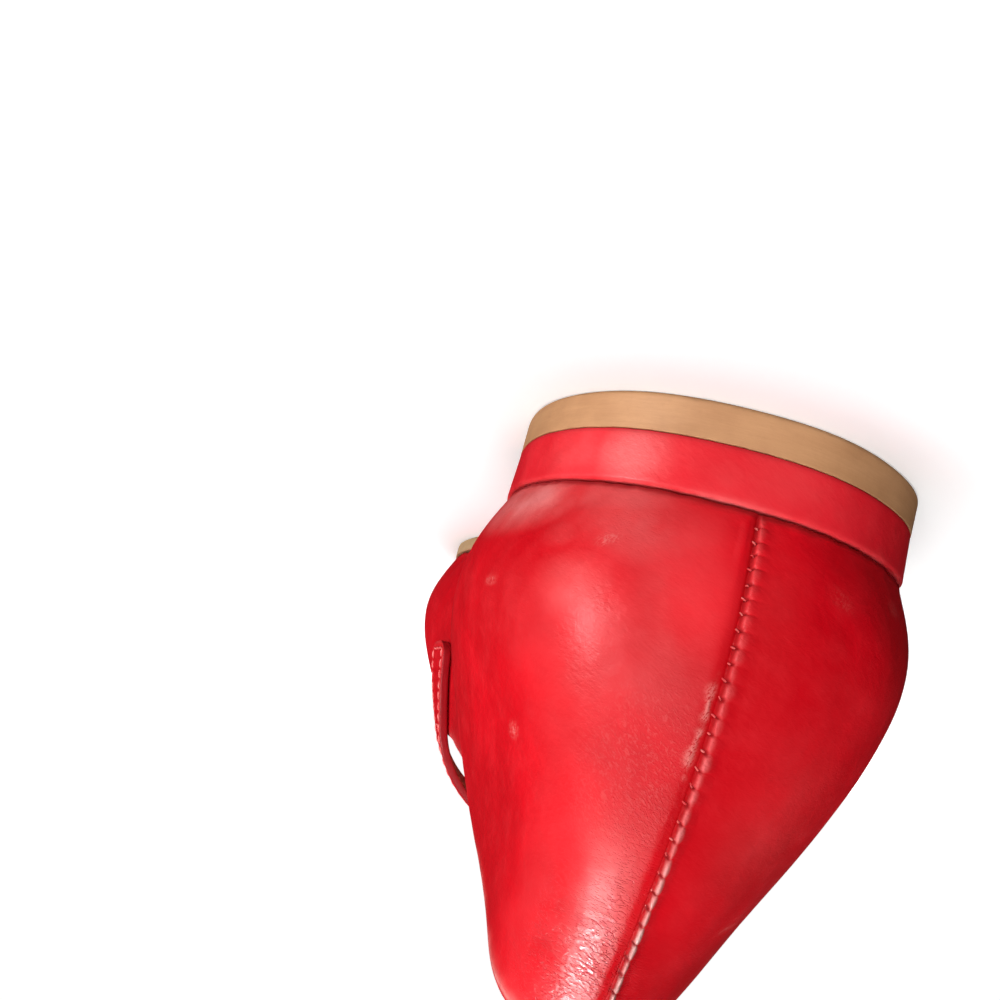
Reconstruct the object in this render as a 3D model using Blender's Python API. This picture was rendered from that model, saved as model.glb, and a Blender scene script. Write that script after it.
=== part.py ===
"""Mary jane flat, left shoe, women's size 37.

The upper is a thin leather shell drawn on the sections of a last.  Every section runs from
the foot of the upper (where it meets the sole), out over the bulge and the shoulder, to the
collar.  The sections follow each other round the shoe: back seam, inner (medial) side, toe,
outer (lateral) side.  Sole, heel, insole and strap are worked out from the same surface.

Axes: +Y points to the toe, +Z up, +X to the inner side of the foot.  The origin lies on the
ground under the middle of the shoe.
"""
import math
from collections import namedtuple

import bmesh
import bpy
import numpy as np

MM = 0.001

# Driving sizes of the shoe
LENGTH = 251.5 * MM          # back of the counter to the tip of the toe
BALL_WIDTH = 86.6 * MM       # widest part of the forefoot
HEEL_HEIGHT = 11.5 * MM      # ground to the heel seat
BACK_HEIGHT = 60.0 * MM      # heel seat to the collar at the back seam
TOE_SPRING = 6.5 * MM        # rise of the sole from the ball to its tip

# Sizes of the last for which the sections below are drawn
LAST_LENGTH = 251.5 * MM
LAST_BALL_WIDTH = 86.6 * MM
LAST_BACK_HEIGHT = 60.0 * MM
LAST_MIDDLE = 119.8 * MM          # from the heel seat's back edge to the middle of the shoe

# Leather, sole and heel
WALL = 1.8 * MM              # outer leather and lining together
MARGIN = 8.0 * MM            # width of the upper's edge turned in over the sole
CLEARANCE = 0.3 * MM         # gap between pieces that touch
SOLE_THICKNESS = 3.2 * MM
SOLE_EDGE = 0.6 * MM         # sole edge outside the foot of the upper
INSOLE_THICKNESS = 2.2 * MM
INSOLE_INSET = 2.3 * MM
TOP_PIECE_HEIGHT = 4.6 * MM
HEEL_EDGE = 0.5 * MM         # heel outside the foot of the upper
HEEL_BREAST = 50.0 * MM      # back of the heel seat to the front face of the heel
BALL_BACK = 148.0 * MM       # the sole lies flat on the ground between these two
BALL_FRONT = 182.0 * MM
SOLE_TIP = 243.0 * MM        # back of the heel seat to the tip of the sole

# Closed back seam: a rolled ridge with a groove beside it
SEAM_RIDGE_WIDTH = 1.6 * MM
SEAM_RIDGE_HEIGHT = 0.75 * MM
SEAM_GROOVE_WIDTH = 1.5 * MM
SEAM_GROOVE_DEPTH = 0.5 * MM

# Strap and buckle
STRAP_ALONG = 123.0 * MM     # place along the shoe, from the heel seat's back edge
STRAP_WIDTH = 12.0 * MM
STRAP_THICKNESS = 1.8 * MM
STRAP_TOP = 61.5 * MM        # height of the strap over the instep
STRAP_SLOPE = 0.30           # fall of the strap towards the toe over the instep
STRAP_SEWN = 20.0 * MM       # length sewn to the inner side
BUCKLE_DROP = 10.0 * MM      # collar to the buckle's centre bar
STRAP_TIP = 17.0 * MM        # free end past the centre bar
BUCKLE_LENGTH = 16.0 * MM
BUCKLE_BAR = 1.8 * MM
CENTRE_BAR = 1.6 * MM
PIN_THICKNESS = 1.3 * MM
HOLE_DIAMETER = 2.3 * MM
HOLE_SPACING = 6.0 * MM
HOLES = 3
PIN_HOLE = 1.8 * MM          # the pin's hole, above the centre bar

# Fineness of the meshes
UP_STEPS = (0.0, 0.045, 0.1, 0.17, 0.25, 0.33, 0.42, 0.51, 0.6, 0.7, 0.8, 0.9, 1.0)
SEAM_STEPS = (-3.0, -1.6, -1.2, -0.8, -0.4, 0.0, 0.4, 0.8, 1.1, 1.5, 3.0)   # mm from the seam
ROD_SIDES = 8
STRIP_STEPS = 48
HEEL_STEPS = 40

# The last: across (+ is the inner side), along (from the heel seat's back edge to the toe) and
# up (from the heel seat), in millimetres.  The foot of each section stands on the sole.
Section = namedtuple("Section", "name foot_across foot_along bulge_across bulge_along bulge_up "
                                "shoulder_across shoulder_along shoulder_up "
                                "collar_across collar_along collar_up")
SECTIONS = (
    Section("back seam", -1.8, 0.4, -1.5, -5.2, 13.0, -0.5, -1.8, 38.0, 2.0, 4.6, 60.0),
    Section("inner heel corner", 13.1, 4.0, 16.3, 0.0, 12.0, 12.5, 2.6, 35.5, 11.6, 8.8, 59.0),
    Section("inner heel curve", 23.3, 16.5, 27.0, 15.0, 11.0, 19.5, 16.2, 32.5, 15.6, 20.6, 52.4),
    Section("inner heel side", 26.8, 35.0, 30.7, 36.0, 10.5, 26.1, 37.0, 28.5, 19.7, 40.0, 44.6),
    Section("inner seat", 23.9, 60.0, 29.8, 61.0, 12.5, 27.6, 61.0, 25.0, 22.6, 62.0, 38.4),
    Section("arch", 18.0, 90.0, 25.6, 90.0, 11.0, 26.4, 89.0, 23.0, 25.4, 88.0, 35.6),
    Section("inner waist", 22.5, 120.0, 30.3, 119.0, 8.5, 30.3, 116.5, 21.0, 27.4, 113.0, 34.5),
    Section("inner instep", 33.0, 145.0, 38.2, 144.0, 5.0, 36.0, 141.0, 20.0, 29.3, 136.0, 34.2),
    Section("inner ball", 39.0, 170.0, 43.1, 169.5, 4.0, 38.4, 164.0, 19.0, 27.4, 155.0, 34.6),
    Section("inner toe", 37.2, 196.0, 41.0, 196.0, 3.5, 34.4, 187.0, 17.6, 21.6, 169.0, 35.0),
    Section("inner toe corner", 29.4, 221.5, 32.8, 222.8, 4.0, 25.2, 210.0, 16.4, 13.0, 177.0, 34.9),
    Section("big toe", 17.6, 237.6, 20.0, 239.8, 4.6, 15.4, 224.0, 15.4, 6.0, 180.4, 34.7),
    Section("toe tip", 4.0, 243.0, 4.2, 246.0, 4.8, 3.0, 228.5, 15.0, 0.0, 181.4, 34.6),
    Section("small toes", -10.0, 238.6, -11.6, 241.2, 4.6, -9.6, 225.6, 15.2, -6.0, 180.2, 34.5),
    Section("outer toe corner", -23.0, 222.5, -26.4, 223.8, 4.0, -21.0, 210.5, 16.0, -13.0, 176.6, 34.3),
    Section("outer toe", -33.8, 196.0, -38.6, 195.6, 3.5, -32.4, 186.0, 17.0, -21.4, 168.5, 33.9),
    Section("outer ball", -38.8, 166.0, -43.3, 166.0, 4.0, -39.2, 160.5, 17.4, -27.0, 154.0, 33.2),
    Section("outer instep", -37.6, 141.0, -42.6, 140.5, 5.5, -39.4, 138.0, 18.0, -29.6, 135.0, 32.6),
    Section("outer waist", -33.8, 116.0, -38.8, 115.5, 7.5, -36.4, 114.5, 19.4, -30.0, 112.0, 32.8),
    Section("outer shank", -29.6, 90.0, -35.0, 90.0, 10.0, -33.0, 89.0, 21.4, -28.4, 88.0, 34.4),
    Section("outer seat", -26.6, 60.0, -32.2, 60.5, 12.0, -29.6, 61.0, 24.4, -25.0, 62.0, 37.9),
    Section("outer heel side", -25.9, 35.0, -29.6, 35.0, 8.0, -26.7, 37.0, 25.5, -21.9, 41.0, 43.6),
    Section("outer heel curve", -23.3, 16.5, -25.8, 14.5, 8.5, -21.6, 16.2, 30.0, -13.2, 22.5, 49.8),
    Section("outer heel corner", -13.5, 4.4, -17.1, 0.4, 10.5, -12.4, 3.2, 35.0, -5.8, 9.8, 56.8),
)


# ---------------------------------------------------------------- curves

def closed_spline(knots, values, at):
    """Smooth closed curve through values at knots; the last knot is the first point again."""
    gaps = np.diff(knots)
    count = len(values)
    slopes = (np.roll(values, -1, axis=0) - values) / gaps[:, None]
    matrix = np.zeros((count, count))
    for i in range(count):
        matrix[i, i - 1] += gaps[i - 1]
        matrix[i, i] += 2.0 * (gaps[i - 1] + gaps[i])
        matrix[i, (i + 1) % count] += gaps[i]
    bends = np.linalg.solve(matrix, 6.0 * (slopes - np.roll(slopes, 1, axis=0)))
    at = np.mod(at, knots[-1])
    first = np.clip(np.searchsorted(knots, at, side="right") - 1, 0, count - 1)
    second = (first + 1) % count
    gap = gaps[first][:, None]
    b = ((at - knots[first]) / gaps[first])[:, None]
    a = 1.0 - b
    return (a * values[first] + b * values[second]
            + ((a ** 3 - a) * bends[first] + (b ** 3 - b) * bends[second]) * gap ** 2 / 6.0)


def rib_spline(controls, up):
    """Smooth curves through four control points each; up runs from 0 (foot) to 1 (collar)."""
    steps = np.linalg.norm(np.diff(controls, axis=1), axis=2)
    knots = np.concatenate([np.zeros((len(steps), 1)), np.cumsum(steps, axis=1)], axis=1)
    slopes = np.diff(controls, axis=1) / steps[:, :, None]
    matrix = np.zeros((len(steps), 2, 2))
    matrix[:, 0, 0] = 2.0 * (steps[:, 0] + steps[:, 1])
    matrix[:, 0, 1] = steps[:, 1]
    matrix[:, 1, 0] = steps[:, 1]
    matrix[:, 1, 1] = 2.0 * (steps[:, 1] + steps[:, 2])
    bends = np.zeros_like(controls)
    bends[:, 1:3] = np.linalg.solve(matrix, 6.0 * np.diff(slopes, axis=1))
    place = up * knots[:, 3]
    row = np.arange(len(steps))
    first = np.clip((place[:, None] >= knots[:, 1:3]).sum(axis=1), 0, 2)
    gap = steps[row, first]
    b = ((place - knots[row, first]) / gap)[:, None]
    a = 1.0 - b
    gap = gap[:, None]
    return (a * controls[row, first] + b * controls[row, first + 1]
            + ((a ** 3 - a) * bends[row, first] + (b ** 3 - b) * bends[row, first + 1])
            * gap ** 2 / 6.0)


def smooth_step(x):
    x = min(max(x, 0.0), 1.0)
    return x * x * (3.0 - 2.0 * x)


def unit(vectors):
    return vectors / np.linalg.norm(vectors, axis=-1, keepdims=True)


# ---------------------------------------------------------------- the last

def sole_line(along):
    """Height of the outsole's upper face, from the distance to the heel seat's back edge."""
    fall = smooth_step((along - HEEL_BREAST) / (BALL_BACK - HEEL_BREAST))
    rise = max(along - BALL_FRONT, 0.0) / (SOLE_TIP - BALL_FRONT)
    return HEEL_HEIGHT + (SOLE_THICKNESS - HEEL_HEIGHT) * fall + TOE_SPRING * rise ** 2


def section_controls():
    """Control points of all sections in metres, as an array of section, point and axis."""
    along = LENGTH / LAST_LENGTH * MM
    across = BALL_WIDTH / LAST_BALL_WIDTH * MM
    up = BACK_HEIGHT / LAST_BACK_HEIGHT * MM
    controls = []
    for row in SECTIONS:
        foot_up = sole_line(row.foot_along * along) + CLEARANCE
        points = [(row.foot_across * across, row.foot_along * along, foot_up)]
        for x, y, z in ((row.bulge_across, row.bulge_along, row.bulge_up),
                        (row.shoulder_across, row.shoulder_along, row.shoulder_up),
                        (row.collar_across, row.collar_along, row.collar_up)):
            points.append((x * across, y * along, HEEL_HEIGHT + z * up))
        controls.append(points)
    return np.array(controls)


CONTROLS = section_controls()
BULGE_STEPS = np.linalg.norm(np.roll(CONTROLS[:, 1], -1, axis=0) - CONTROLS[:, 1], axis=1)
KNOTS = np.concatenate([[0.0], np.cumsum(BULGE_STEPS)])
ROUND = KNOTS[-1]            # way round the shoe along the bulge, from seam to seam
TOE_KNOT = KNOTS[12]


def last_point(way, up):
    """Points of the last's surface: way round the shoe in metres, up from 0 to 1."""
    way, up = np.broadcast_arrays(np.asarray(way, float), np.asarray(up, float))
    shape = way.shape
    flat = CONTROLS.reshape(len(CONTROLS), 12)
    controls = closed_spline(KNOTS, flat, way.ravel()).reshape(-1, 4, 3)
    points = rib_spline(controls, up.ravel())
    low = up.ravel() < 1e-9
    points[low, 2] = [sole_line(y) + CLEARANCE for y in points[low, 1]]
    return points.reshape(shape + (3,))


def last_normal(way, up):
    """Unit normals of the last's surface, pointing out of the shoe."""
    way, up = np.broadcast_arrays(np.asarray(way, float), np.asarray(up, float))
    low = np.clip(up - 0.01, 0.001, 1.0)
    high = np.clip(up + 0.01, 0.001, 1.0)
    rise = last_point(way, high) - last_point(way, low)
    run = last_point(way + 0.5 * MM, up) - last_point(way - 0.5 * MM, up)
    return unit(np.cross(run, rise))


def foot_loop(way, outward=0.0):
    """The foot of the upper seen from above, moved outwards by a distance."""
    points = last_point(way, 0.0)
    run = unit((last_point(way + 0.5 * MM, 0.0) - last_point(way - 0.5 * MM, 0.0))[:, :2])
    points[:, 0] += run[:, 1] * outward
    points[:, 1] -= run[:, 0] * outward
    return points


def way_at(along, side, up=0.0):
    """Way round the shoe at which a line of the last lies at a given distance along it."""
    ways = np.linspace(0.0, TOE_KNOT, 400) if side > 0 else np.linspace(ROUND, TOE_KNOT, 400)
    return float(np.interp(along, last_point(ways, up)[:, 1], ways))


# ---------------------------------------------------------------- meshes

def add_object(name, vertices, faces, material):
    """One named object, moved so that the origin is under the middle of the shoe."""
    mesh = bpy.data.meshes.new(name)
    middle = LAST_MIDDLE * LENGTH / LAST_LENGTH
    mesh.from_pydata([(x, y - middle, z) for x, y, z in vertices], [], faces)
    body = bmesh.new()
    body.from_mesh(mesh)
    bmesh.ops.recalc_face_normals(body, faces=body.faces)
    body.to_mesh(mesh)
    body.free()
    mesh.shade_smooth()
    mesh.set_sharp_from_angle(angle=math.radians(40))
    mesh.materials.append(material)
    thing = bpy.data.objects.new(name, mesh)
    bpy.context.scene.collection.objects.link(thing)
    return thing


def ring_faces(rings, count, closed_rings):
    """Quads between neighbouring closed rings of points; rings may close on themselves too."""
    faces = []
    for k in range(rings if closed_rings else rings - 1):
        here = k * count
        there = (k + 1) % rings * count
        for i in range(count):
            j = (i + 1) % count
            faces.append((here + i, here + j, there + j, there + i))
    return faces


def slab(name, outer, inner, material):
    """A closed sheet between two grids of points."""
    rows, columns = outer.shape[:2]
    vertices = np.concatenate([outer.reshape(-1, 3), inner.reshape(-1, 3)])
    under = rows * columns
    faces = []
    for i in range(rows - 1):
        for j in range(columns - 1):
            a = i * columns + j
            b = a + columns
            faces.append((a, b, b + 1, a + 1))
            faces.append((under + a, under + a + 1, under + b + 1, under + b))
    rim = [i * columns for i in range(rows)]
    rim += [(rows - 1) * columns + j for j in range(1, columns)]
    rim += [i * columns + columns - 1 for i in range(rows - 2, -1, -1)]
    rim += list(range(columns - 2, 0, -1))
    for a, b in zip(rim, rim[1:] + rim[:1]):
        faces.append((a, b, under + b, under + a))
    return add_object(name, vertices.tolist(), faces, material)


def rod(name, path, across, thickness, closed, material):
    """A round bar along a path in a plane; across is the normal of that plane."""
    path = np.array(path)
    across = np.array(across)
    rings = []
    for i, point in enumerate(path):
        if closed:
            run = path[(i + 1) % len(path)] - path[i - 1]
        else:
            run = path[min(i + 1, len(path) - 1)] - path[max(i - 1, 0)]
        side = unit(np.cross(run, across))
        for k in range(ROD_SIDES):
            angle = 2.0 * math.pi * (k + 0.5) / ROD_SIDES
            rings.append(point + thickness / 2 * (math.cos(angle) * side + math.sin(angle) * across))
    faces = ring_faces(len(path), ROD_SIDES, closed)
    if not closed:
        faces.append(tuple(range(ROD_SIDES)))
        faces.append(tuple(range(len(rings) - ROD_SIDES, len(rings))))
    return add_object(name, [tuple(p) for p in rings], faces, material)


def apply_boolean(thing, cutter, operation):
    modifier = thing.modifiers.new("shape", "BOOLEAN")
    modifier.operation = operation
    modifier.object = cutter
    modifier.solver = "EXACT"
    depsgraph = bpy.context.evaluated_depsgraph_get()
    mesh = bpy.data.meshes.new_from_object(thing.evaluated_get(depsgraph))
    thing.modifiers.clear()
    thing.data = mesh
    bpy.data.objects.remove(cutter)


def make_material(name, colour, roughness, metallic=0.0):
    material = bpy.data.materials.new(name)
    material.use_nodes = True
    shader = material.node_tree.nodes["Principled BSDF"]
    shader.inputs["Base Color"].default_value = (*colour, 1.0)
    shader.inputs["Roughness"].default_value = roughness
    shader.inputs["Metallic"].default_value = metallic
    return material


# ---------------------------------------------------------------- pieces

def seam_relief(offset):
    """Height of the back seam's relief at a distance from it; the ridge is on the outer side."""
    if -SEAM_RIDGE_WIDTH < offset < 0.0:
        return SEAM_RIDGE_HEIGHT * math.sin(-offset / SEAM_RIDGE_WIDTH * math.pi)
    if 0.0 < offset < SEAM_GROOVE_WIDTH:
        return -SEAM_GROOVE_DEPTH * math.sin(offset / SEAM_GROOVE_WIDTH * math.pi)
    return 0.0


def upper_columns():
    """Ways round the shoe for the upper's columns, close together beside the back seam."""
    near = np.array(SEAM_STEPS) * MM
    rest = []
    for a, b in zip(KNOTS[:-1], KNOTS[1:]):
        rest += list(a + (b - a) * np.arange(4) / 4)
    rest = [way for way in rest if 4.5 * MM < way < ROUND - 4.5 * MM]
    return np.mod(np.concatenate([near[near >= 0], rest, ROUND + near[near < 0]]), ROUND)


def make_upper(material):
    """Hollow shell: turned-in edge, outer face, rolled collar, inner face and back again."""
    ways = upper_columns()
    offsets = np.where(ways > ROUND / 2, ways - ROUND, ways)
    relief = np.array([seam_relief(offset) for offset in offsets])
    edge = foot_loop(ways, -MARGIN)
    middle = foot_loop(ways, -MARGIN / 2)
    rings = [edge, middle]
    for points in rings:
        points[:, 2] = [sole_line(y) + CLEARANCE for y in points[:, 1]]
    for up in UP_STEPS:
        fade = smooth_step(up / 0.06)
        rings.append(last_point(ways, up) + last_normal(ways, up) * (relief * fade)[:, None])
    normal = last_normal(ways, 1.0)
    rise = unit(last_point(ways, 1.0) - last_point(ways, 0.97))
    centre = last_point(ways, 1.0) - normal * WALL / 2
    for turn in (45.0, 90.0, 135.0):
        angle = math.radians(turn)
        rings.append(centre + (normal * math.cos(angle) + rise * math.sin(angle)) * WALL / 2)
    for up in UP_STEPS[::-1]:
        rings.append(last_point(ways, up) - last_normal(ways, up) * WALL)
    floor = [middle.copy(), edge.copy()]
    for points in floor:
        points[:, 2] += WALL
    low = rings[-1]
    low[:, 2] = np.maximum(low[:, 2], [sole_line(y) + CLEARANCE + WALL for y in low[:, 1]])
    rings += floor
    faces = ring_faces(len(rings), len(ways), True)
    return add_object("upper", np.concatenate(rings).tolist(), faces, material)


def sole_sides(outward):
    """Edge of the sole as an inner and an outer row of points, both from back to front."""
    loop = foot_loop(np.linspace(0.0, ROUND, 1441)[:-1], outward)
    turn = int(np.argmax(loop[:, 1]))
    return loop[:turn + 1], loop[turn:][::-1]


def edge_at(side_points, along):
    order = np.argsort(side_points[:, 1])
    return float(np.interp(along, side_points[order, 1], side_points[order, 0]))


def strip_body(name, outward, top, thickness, material, back=None):
    """A flat piece that follows the sole line, with the last's outline; back may cut it off."""
    inner, outer = sole_sides(outward)
    tip = inner[-1]
    whole = back is None
    start = min(inner[:, 1].min(), outer[:, 1].min()) if whole else back
    vertices, rows = [], []
    for i in range(STRIP_STEPS + 1):
        turn = i / STRIP_STEPS * math.pi
        share = (1.0 - math.cos(turn)) / 2 if whole else math.sin(turn / 2)
        along = start + (tip[1] - start) * share
        high = sole_line(along) + top
        if i == STRIP_STEPS:
            xs = [tip[0]]
        elif whole and i == 0:
            xs = [0.0]
        else:
            xs = [edge_at(outer, along), edge_at(inner, along)]
        row = []
        for x in xs:
            row.append((len(vertices), len(vertices) + 1))
            vertices += [(x, along, high), (x, along, high - thickness)]
        rows.append(row)
    faces = []
    for a, b in zip(rows[:-1], rows[1:]):
        for level in (0, 1):
            quad = [p[level] for p in a] + [p[level] for p in b[::-1]]
            faces.append(tuple(quad))
        faces.append((a[0][0], a[0][1], b[0][1], b[0][0]))
        faces.append((a[-1][0], a[-1][1], b[-1][1], b[-1][0]))
    if not whole:
        faces.append((rows[0][0][0], rows[0][0][1], rows[0][1][1], rows[0][1][0]))
    return add_object(name, vertices, faces, material)


def heel_ring(outward, height):
    """Outline of the heel at one height: round the back and straight across the breast."""
    inner = way_at(HEEL_BREAST, 1)
    outer = way_at(HEEL_BREAST, -1) - ROUND
    points = foot_loop(np.linspace(outer, inner, HEEL_STEPS + 1), outward)
    points[:, 2] = height
    points[0, 1] = points[-1, 1] = HEEL_BREAST
    across = np.linspace(points[-1, 0], points[0, 0], 8)[1:-1]
    breast = [(x, HEEL_BREAST, height) for x in across]
    return np.concatenate([points, breast])


def make_heel_piece(name, levels, material):
    """A stack of heel outlines; levels hold the height and the distance outside the foot."""
    rings = [heel_ring(outward, height) for height, outward in levels]
    count = len(rings[0])
    faces = ring_faces(len(rings), count, False)
    faces.append(tuple(range(count)))
    faces.append(tuple(range((len(rings) - 1) * count, len(rings) * count)))
    return add_object(name, np.concatenate(rings).tolist(), faces, material)


def strap_lift(distance):
    """Height of the strap's middle over the quarter, at a distance from the centre bar."""
    lift = CLEARANCE + STRAP_THICKNESS / 2
    reach = BUCKLE_LENGTH / 2 - BUCKLE_BAR - CLEARANCE
    if abs(distance) < reach:
        lift += (CENTRE_BAR + CLEARANCE) * math.cos(distance / reach * math.pi / 2) ** 2
    return lift


def quarter_line(side, drop, lift, spread):
    """A line across the strap on the quarter: drop below the collar, lift above the leather."""
    way = way_at(STRAP_ALONG, side, 1.0)
    rib = last_point(way, np.linspace(0.0, 1.0, 60))
    length = np.linalg.norm(np.diff(rib, axis=0), axis=1).sum()
    up = 1.0 - drop / length
    speed = np.linalg.norm(last_point(way + 0.5 * MM, up) - last_point(way - 0.5 * MM, up)) / MM
    ways = way + side * spread / speed
    ups = np.full_like(ways, up)
    return last_point(ways, ups) + last_normal(ways, ups) * lift


def end_width(distance, corner):
    """Share of the strap's width at a distance from its rounded end."""
    if distance >= corner:
        return 1.0
    return max(math.sqrt(1.0 - (1.0 - distance / corner) ** 2), 0.3)


def strap_middle():
    """Middle surface of the strap as a grid: from the sewn end to the free tip."""
    spread = np.linspace(-1.0, 1.0, 5) * STRAP_WIDTH / 2
    flat = CLEARANCE + STRAP_THICKNESS / 2
    lines = []
    for share in (1.0, 0.97, 0.93, 0.87, 0.775, 0.6, 0.4, 0.2, 0.05):
        drop = share * STRAP_SEWN
        width = end_width(STRAP_SEWN - drop, 3.0 * MM)
        lines.append(quarter_line(1, drop, flat, spread * width))
    landing = []
    length = BUCKLE_DROP + STRAP_TIP
    drops = np.arange(1.0 * MM, length - 6.0 * MM, 1.25 * MM)
    rounding = length - np.array([5.5, 4.0, 2.4, 1.4, 0.6, 0.0]) * MM
    for drop in np.concatenate([drops, rounding]):
        width = end_width(length - drop, 6.0 * MM)
        landing.append(quarter_line(-1, drop, strap_lift(drop - BUCKLE_DROP), spread * width))
    start, finish = lines[-1], landing[0]
    leave = unit(lines[-1] - lines[-2])
    arrive = unit(landing[1] - landing[0])
    top = np.zeros((len(spread), 3))
    top[:, 0] = (start[:, 0] + finish[:, 0]) / 2
    top[:, 1] = STRAP_ALONG + spread + 1.0 * MM
    top[:, 2] = STRAP_TOP - spread * STRAP_SLOPE
    level = np.array([-1.0, 0.0, 0.0])
    for a, b, go, stop in ((start, top, leave, level), (top, finish, level, arrive)):
        reach = np.linalg.norm(b - a, axis=1, keepdims=True) * 1.15
        for share in np.arange(1, 11) / 10:
            t2, t3 = share ** 2, share ** 3
            lines.append((2 * t3 - 3 * t2 + 1) * a + (t3 - 2 * t2 + share) * reach * go
                         + (3 * t2 - 2 * t3) * b + (t3 - t2) * reach * stop)
    return np.array(lines[:-1] + landing)


def make_strap(material):
    middle = strap_middle()
    run = np.gradient(middle, axis=0)
    side = np.gradient(middle, axis=1)
    normal = unit(np.cross(side, run))
    if normal[len(normal) // 2, 2, 2] < 0.0:
        normal = -normal
    strap = slab("strap", middle + normal * STRAP_THICKNESS / 2,
                 middle - normal * STRAP_THICKNESS / 2, material)
    for k in range(HOLES):
        apply_boolean(strap, hole_cutter(PIN_HOLE - k * HOLE_SPACING, material), "DIFFERENCE")
    return strap


def buckle_frame():
    """Centre and axes of the buckle on the quarter: across, up the strap and outwards."""
    line = quarter_line(-1, BUCKLE_DROP, 0.0, np.array([-1.0, 0.0, 1.0]) * MM)
    above = quarter_line(-1, BUCKLE_DROP - 1.0 * MM, 0.0, np.zeros(1))[0]
    across = unit(line[2] - line[0])
    out = unit(np.cross(above - line[1], across))
    if out[0] > 0.0:
        out = -out
    up = unit(np.cross(out, across))
    if up[2] < 0.0:
        up = -up
    return line[1], across, up, out


def hole_cutter(distance, material):
    """A pin through the strap at a distance above the centre bar."""
    centre, across, up, out = buckle_frame()
    base = centre + up * distance
    path = [base - out * 1.0 * MM, base + out * 8.0 * MM]
    return rod("hole", path, across, HOLE_DIAMETER, False, material)


def make_buckle(material):
    """Rectangular frame over the strap, with a centre bar under it."""
    centre, across, up, out = buckle_frame()
    half_width = STRAP_WIDTH / 2 + CLEARANCE + BUCKLE_BAR / 2 + 0.2 * MM
    half_length = (BUCKLE_LENGTH - BUCKLE_BAR) / 2
    height = CLEARANCE * 2 + STRAP_THICKNESS + BUCKLE_BAR / 2
    corner = 2.0 * MM
    path = []
    for turn, sx, sy in ((0, 1, 1), (90, -1, 1), (180, -1, -1), (270, 1, -1)):
        for k in range(5):
            angle = math.radians(turn + k * 22.5)
            x = sx * (half_width - corner) + corner * math.cos(angle)
            y = sy * (half_length - corner) + corner * math.sin(angle)
            path.append(centre + across * x + up * y + out * height)
    buckle = rod("buckle", path, out, BUCKLE_BAR, True, material)
    low = CLEARANCE + CENTRE_BAR / 2
    bar = []
    for x, z in ((-1, height), (-1, (height + low) / 2 + 0.2 * MM), (-0.94, low + 0.25 * MM), (-0.84, low),
                 (0.0, low), (0.84, low), (0.94, low + 0.25 * MM), (1, (height + low) / 2 + 0.2 * MM),
                 (1, height)):
        bar.append(centre + across * x * half_width + out * z)
    apply_boolean(buckle, rod("bar", bar, up, CENTRE_BAR, False, material), "UNION")
    return buckle


def make_pin(material):
    """The pin: up through its hole in the strap and over the frame's upper bar."""
    centre, across, up, out = buckle_frame()
    bar_top = CLEARANCE * 2 + STRAP_THICKNESS + BUCKLE_BAR
    rest = bar_top + CLEARANCE + PIN_THICKNESS / 2
    path = []
    for distance, height in ((PIN_HOLE, 2.7 * MM), (PIN_HOLE, 3.6 * MM),
                             (PIN_HOLE + 0.25 * MM, rest - 0.5 * MM), (PIN_HOLE + 0.9 * MM, rest),
                             (BUCKLE_LENGTH / 2 - BUCKLE_BAR, rest + 0.1 * MM),
                             (BUCKLE_LENGTH / 2, rest), (BUCKLE_LENGTH / 2 + 0.8 * MM, rest - 0.25 * MM)):
        path.append(centre + up * distance + out * height)
    return rod("buckle_pin", path, across, PIN_THICKNESS, False, material)


def main():
    for thing in list(bpy.data.objects):
        bpy.data.objects.remove(thing)
    red = make_material("red leather", (0.62, 0.018, 0.03), 0.38)
    red_heel = make_material("red heel cover", (0.60, 0.02, 0.032), 0.4)
    tan = make_material("tan sole", (0.56, 0.33, 0.17), 0.55)
    tan_heel = make_material("tan top piece", (0.55, 0.32, 0.16), 0.5)
    lining = make_material("insole leather", (0.62, 0.47, 0.33), 0.6)
    strap_red = make_material("red strap leather", (0.62, 0.018, 0.03), 0.38)
    metal = make_material("buckle metal", (0.80, 0.72, 0.50), 0.28, 1.0)
    pin_metal = make_material("pin metal", (0.80, 0.72, 0.50), 0.28, 1.0)

    make_upper(red)
    strip_body("outsole", SOLE_EDGE, 0.0, SOLE_THICKNESS, tan, back=HEEL_BREAST + CLEARANCE)
    insole_top = CLEARANCE * 2 + WALL + INSOLE_THICKNESS
    strip_body("insole", -INSOLE_INSET, insole_top, INSOLE_THICKNESS, lining)
    split = TOP_PIECE_HEIGHT + CLEARANCE
    make_heel_piece("top_piece", ((0.0, HEEL_EDGE - 0.9 * MM), (0.25 * MM, HEEL_EDGE - 0.55 * MM),
                                  (0.8 * MM, HEEL_EDGE - 0.3 * MM),
                                  (TOP_PIECE_HEIGHT, HEEL_EDGE - 0.25 * MM)), tan_heel)
    make_heel_piece("heel_block", ((split, HEEL_EDGE - 0.3 * MM), (HEEL_HEIGHT - 0.7 * MM, HEEL_EDGE),
                                   (HEEL_HEIGHT - 0.15 * MM, HEEL_EDGE - 0.15 * MM),
                                   (HEEL_HEIGHT, HEEL_EDGE - 0.5 * MM)), red_heel)
    make_strap(strap_red)
    make_buckle(metal)
    make_pin(pin_metal)


main()
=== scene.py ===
"""Looks of the mary jane flat: a left shoe in smooth red leather on a pale floor.

The upper, strap, insole, sole and heel are drawn again on the same last as their solids, fine
enough for the seam, the stitches, the turned edges and the creases.  Lengths are in metres,
measured on the last from the back edge of the heel seat: across (+X is the inner side), along
(+Y to the toe) and up.
"""
import math
from collections import namedtuple

import bmesh
import bpy
import numpy as np
from mathutils import Matrix, Vector, noise


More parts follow.
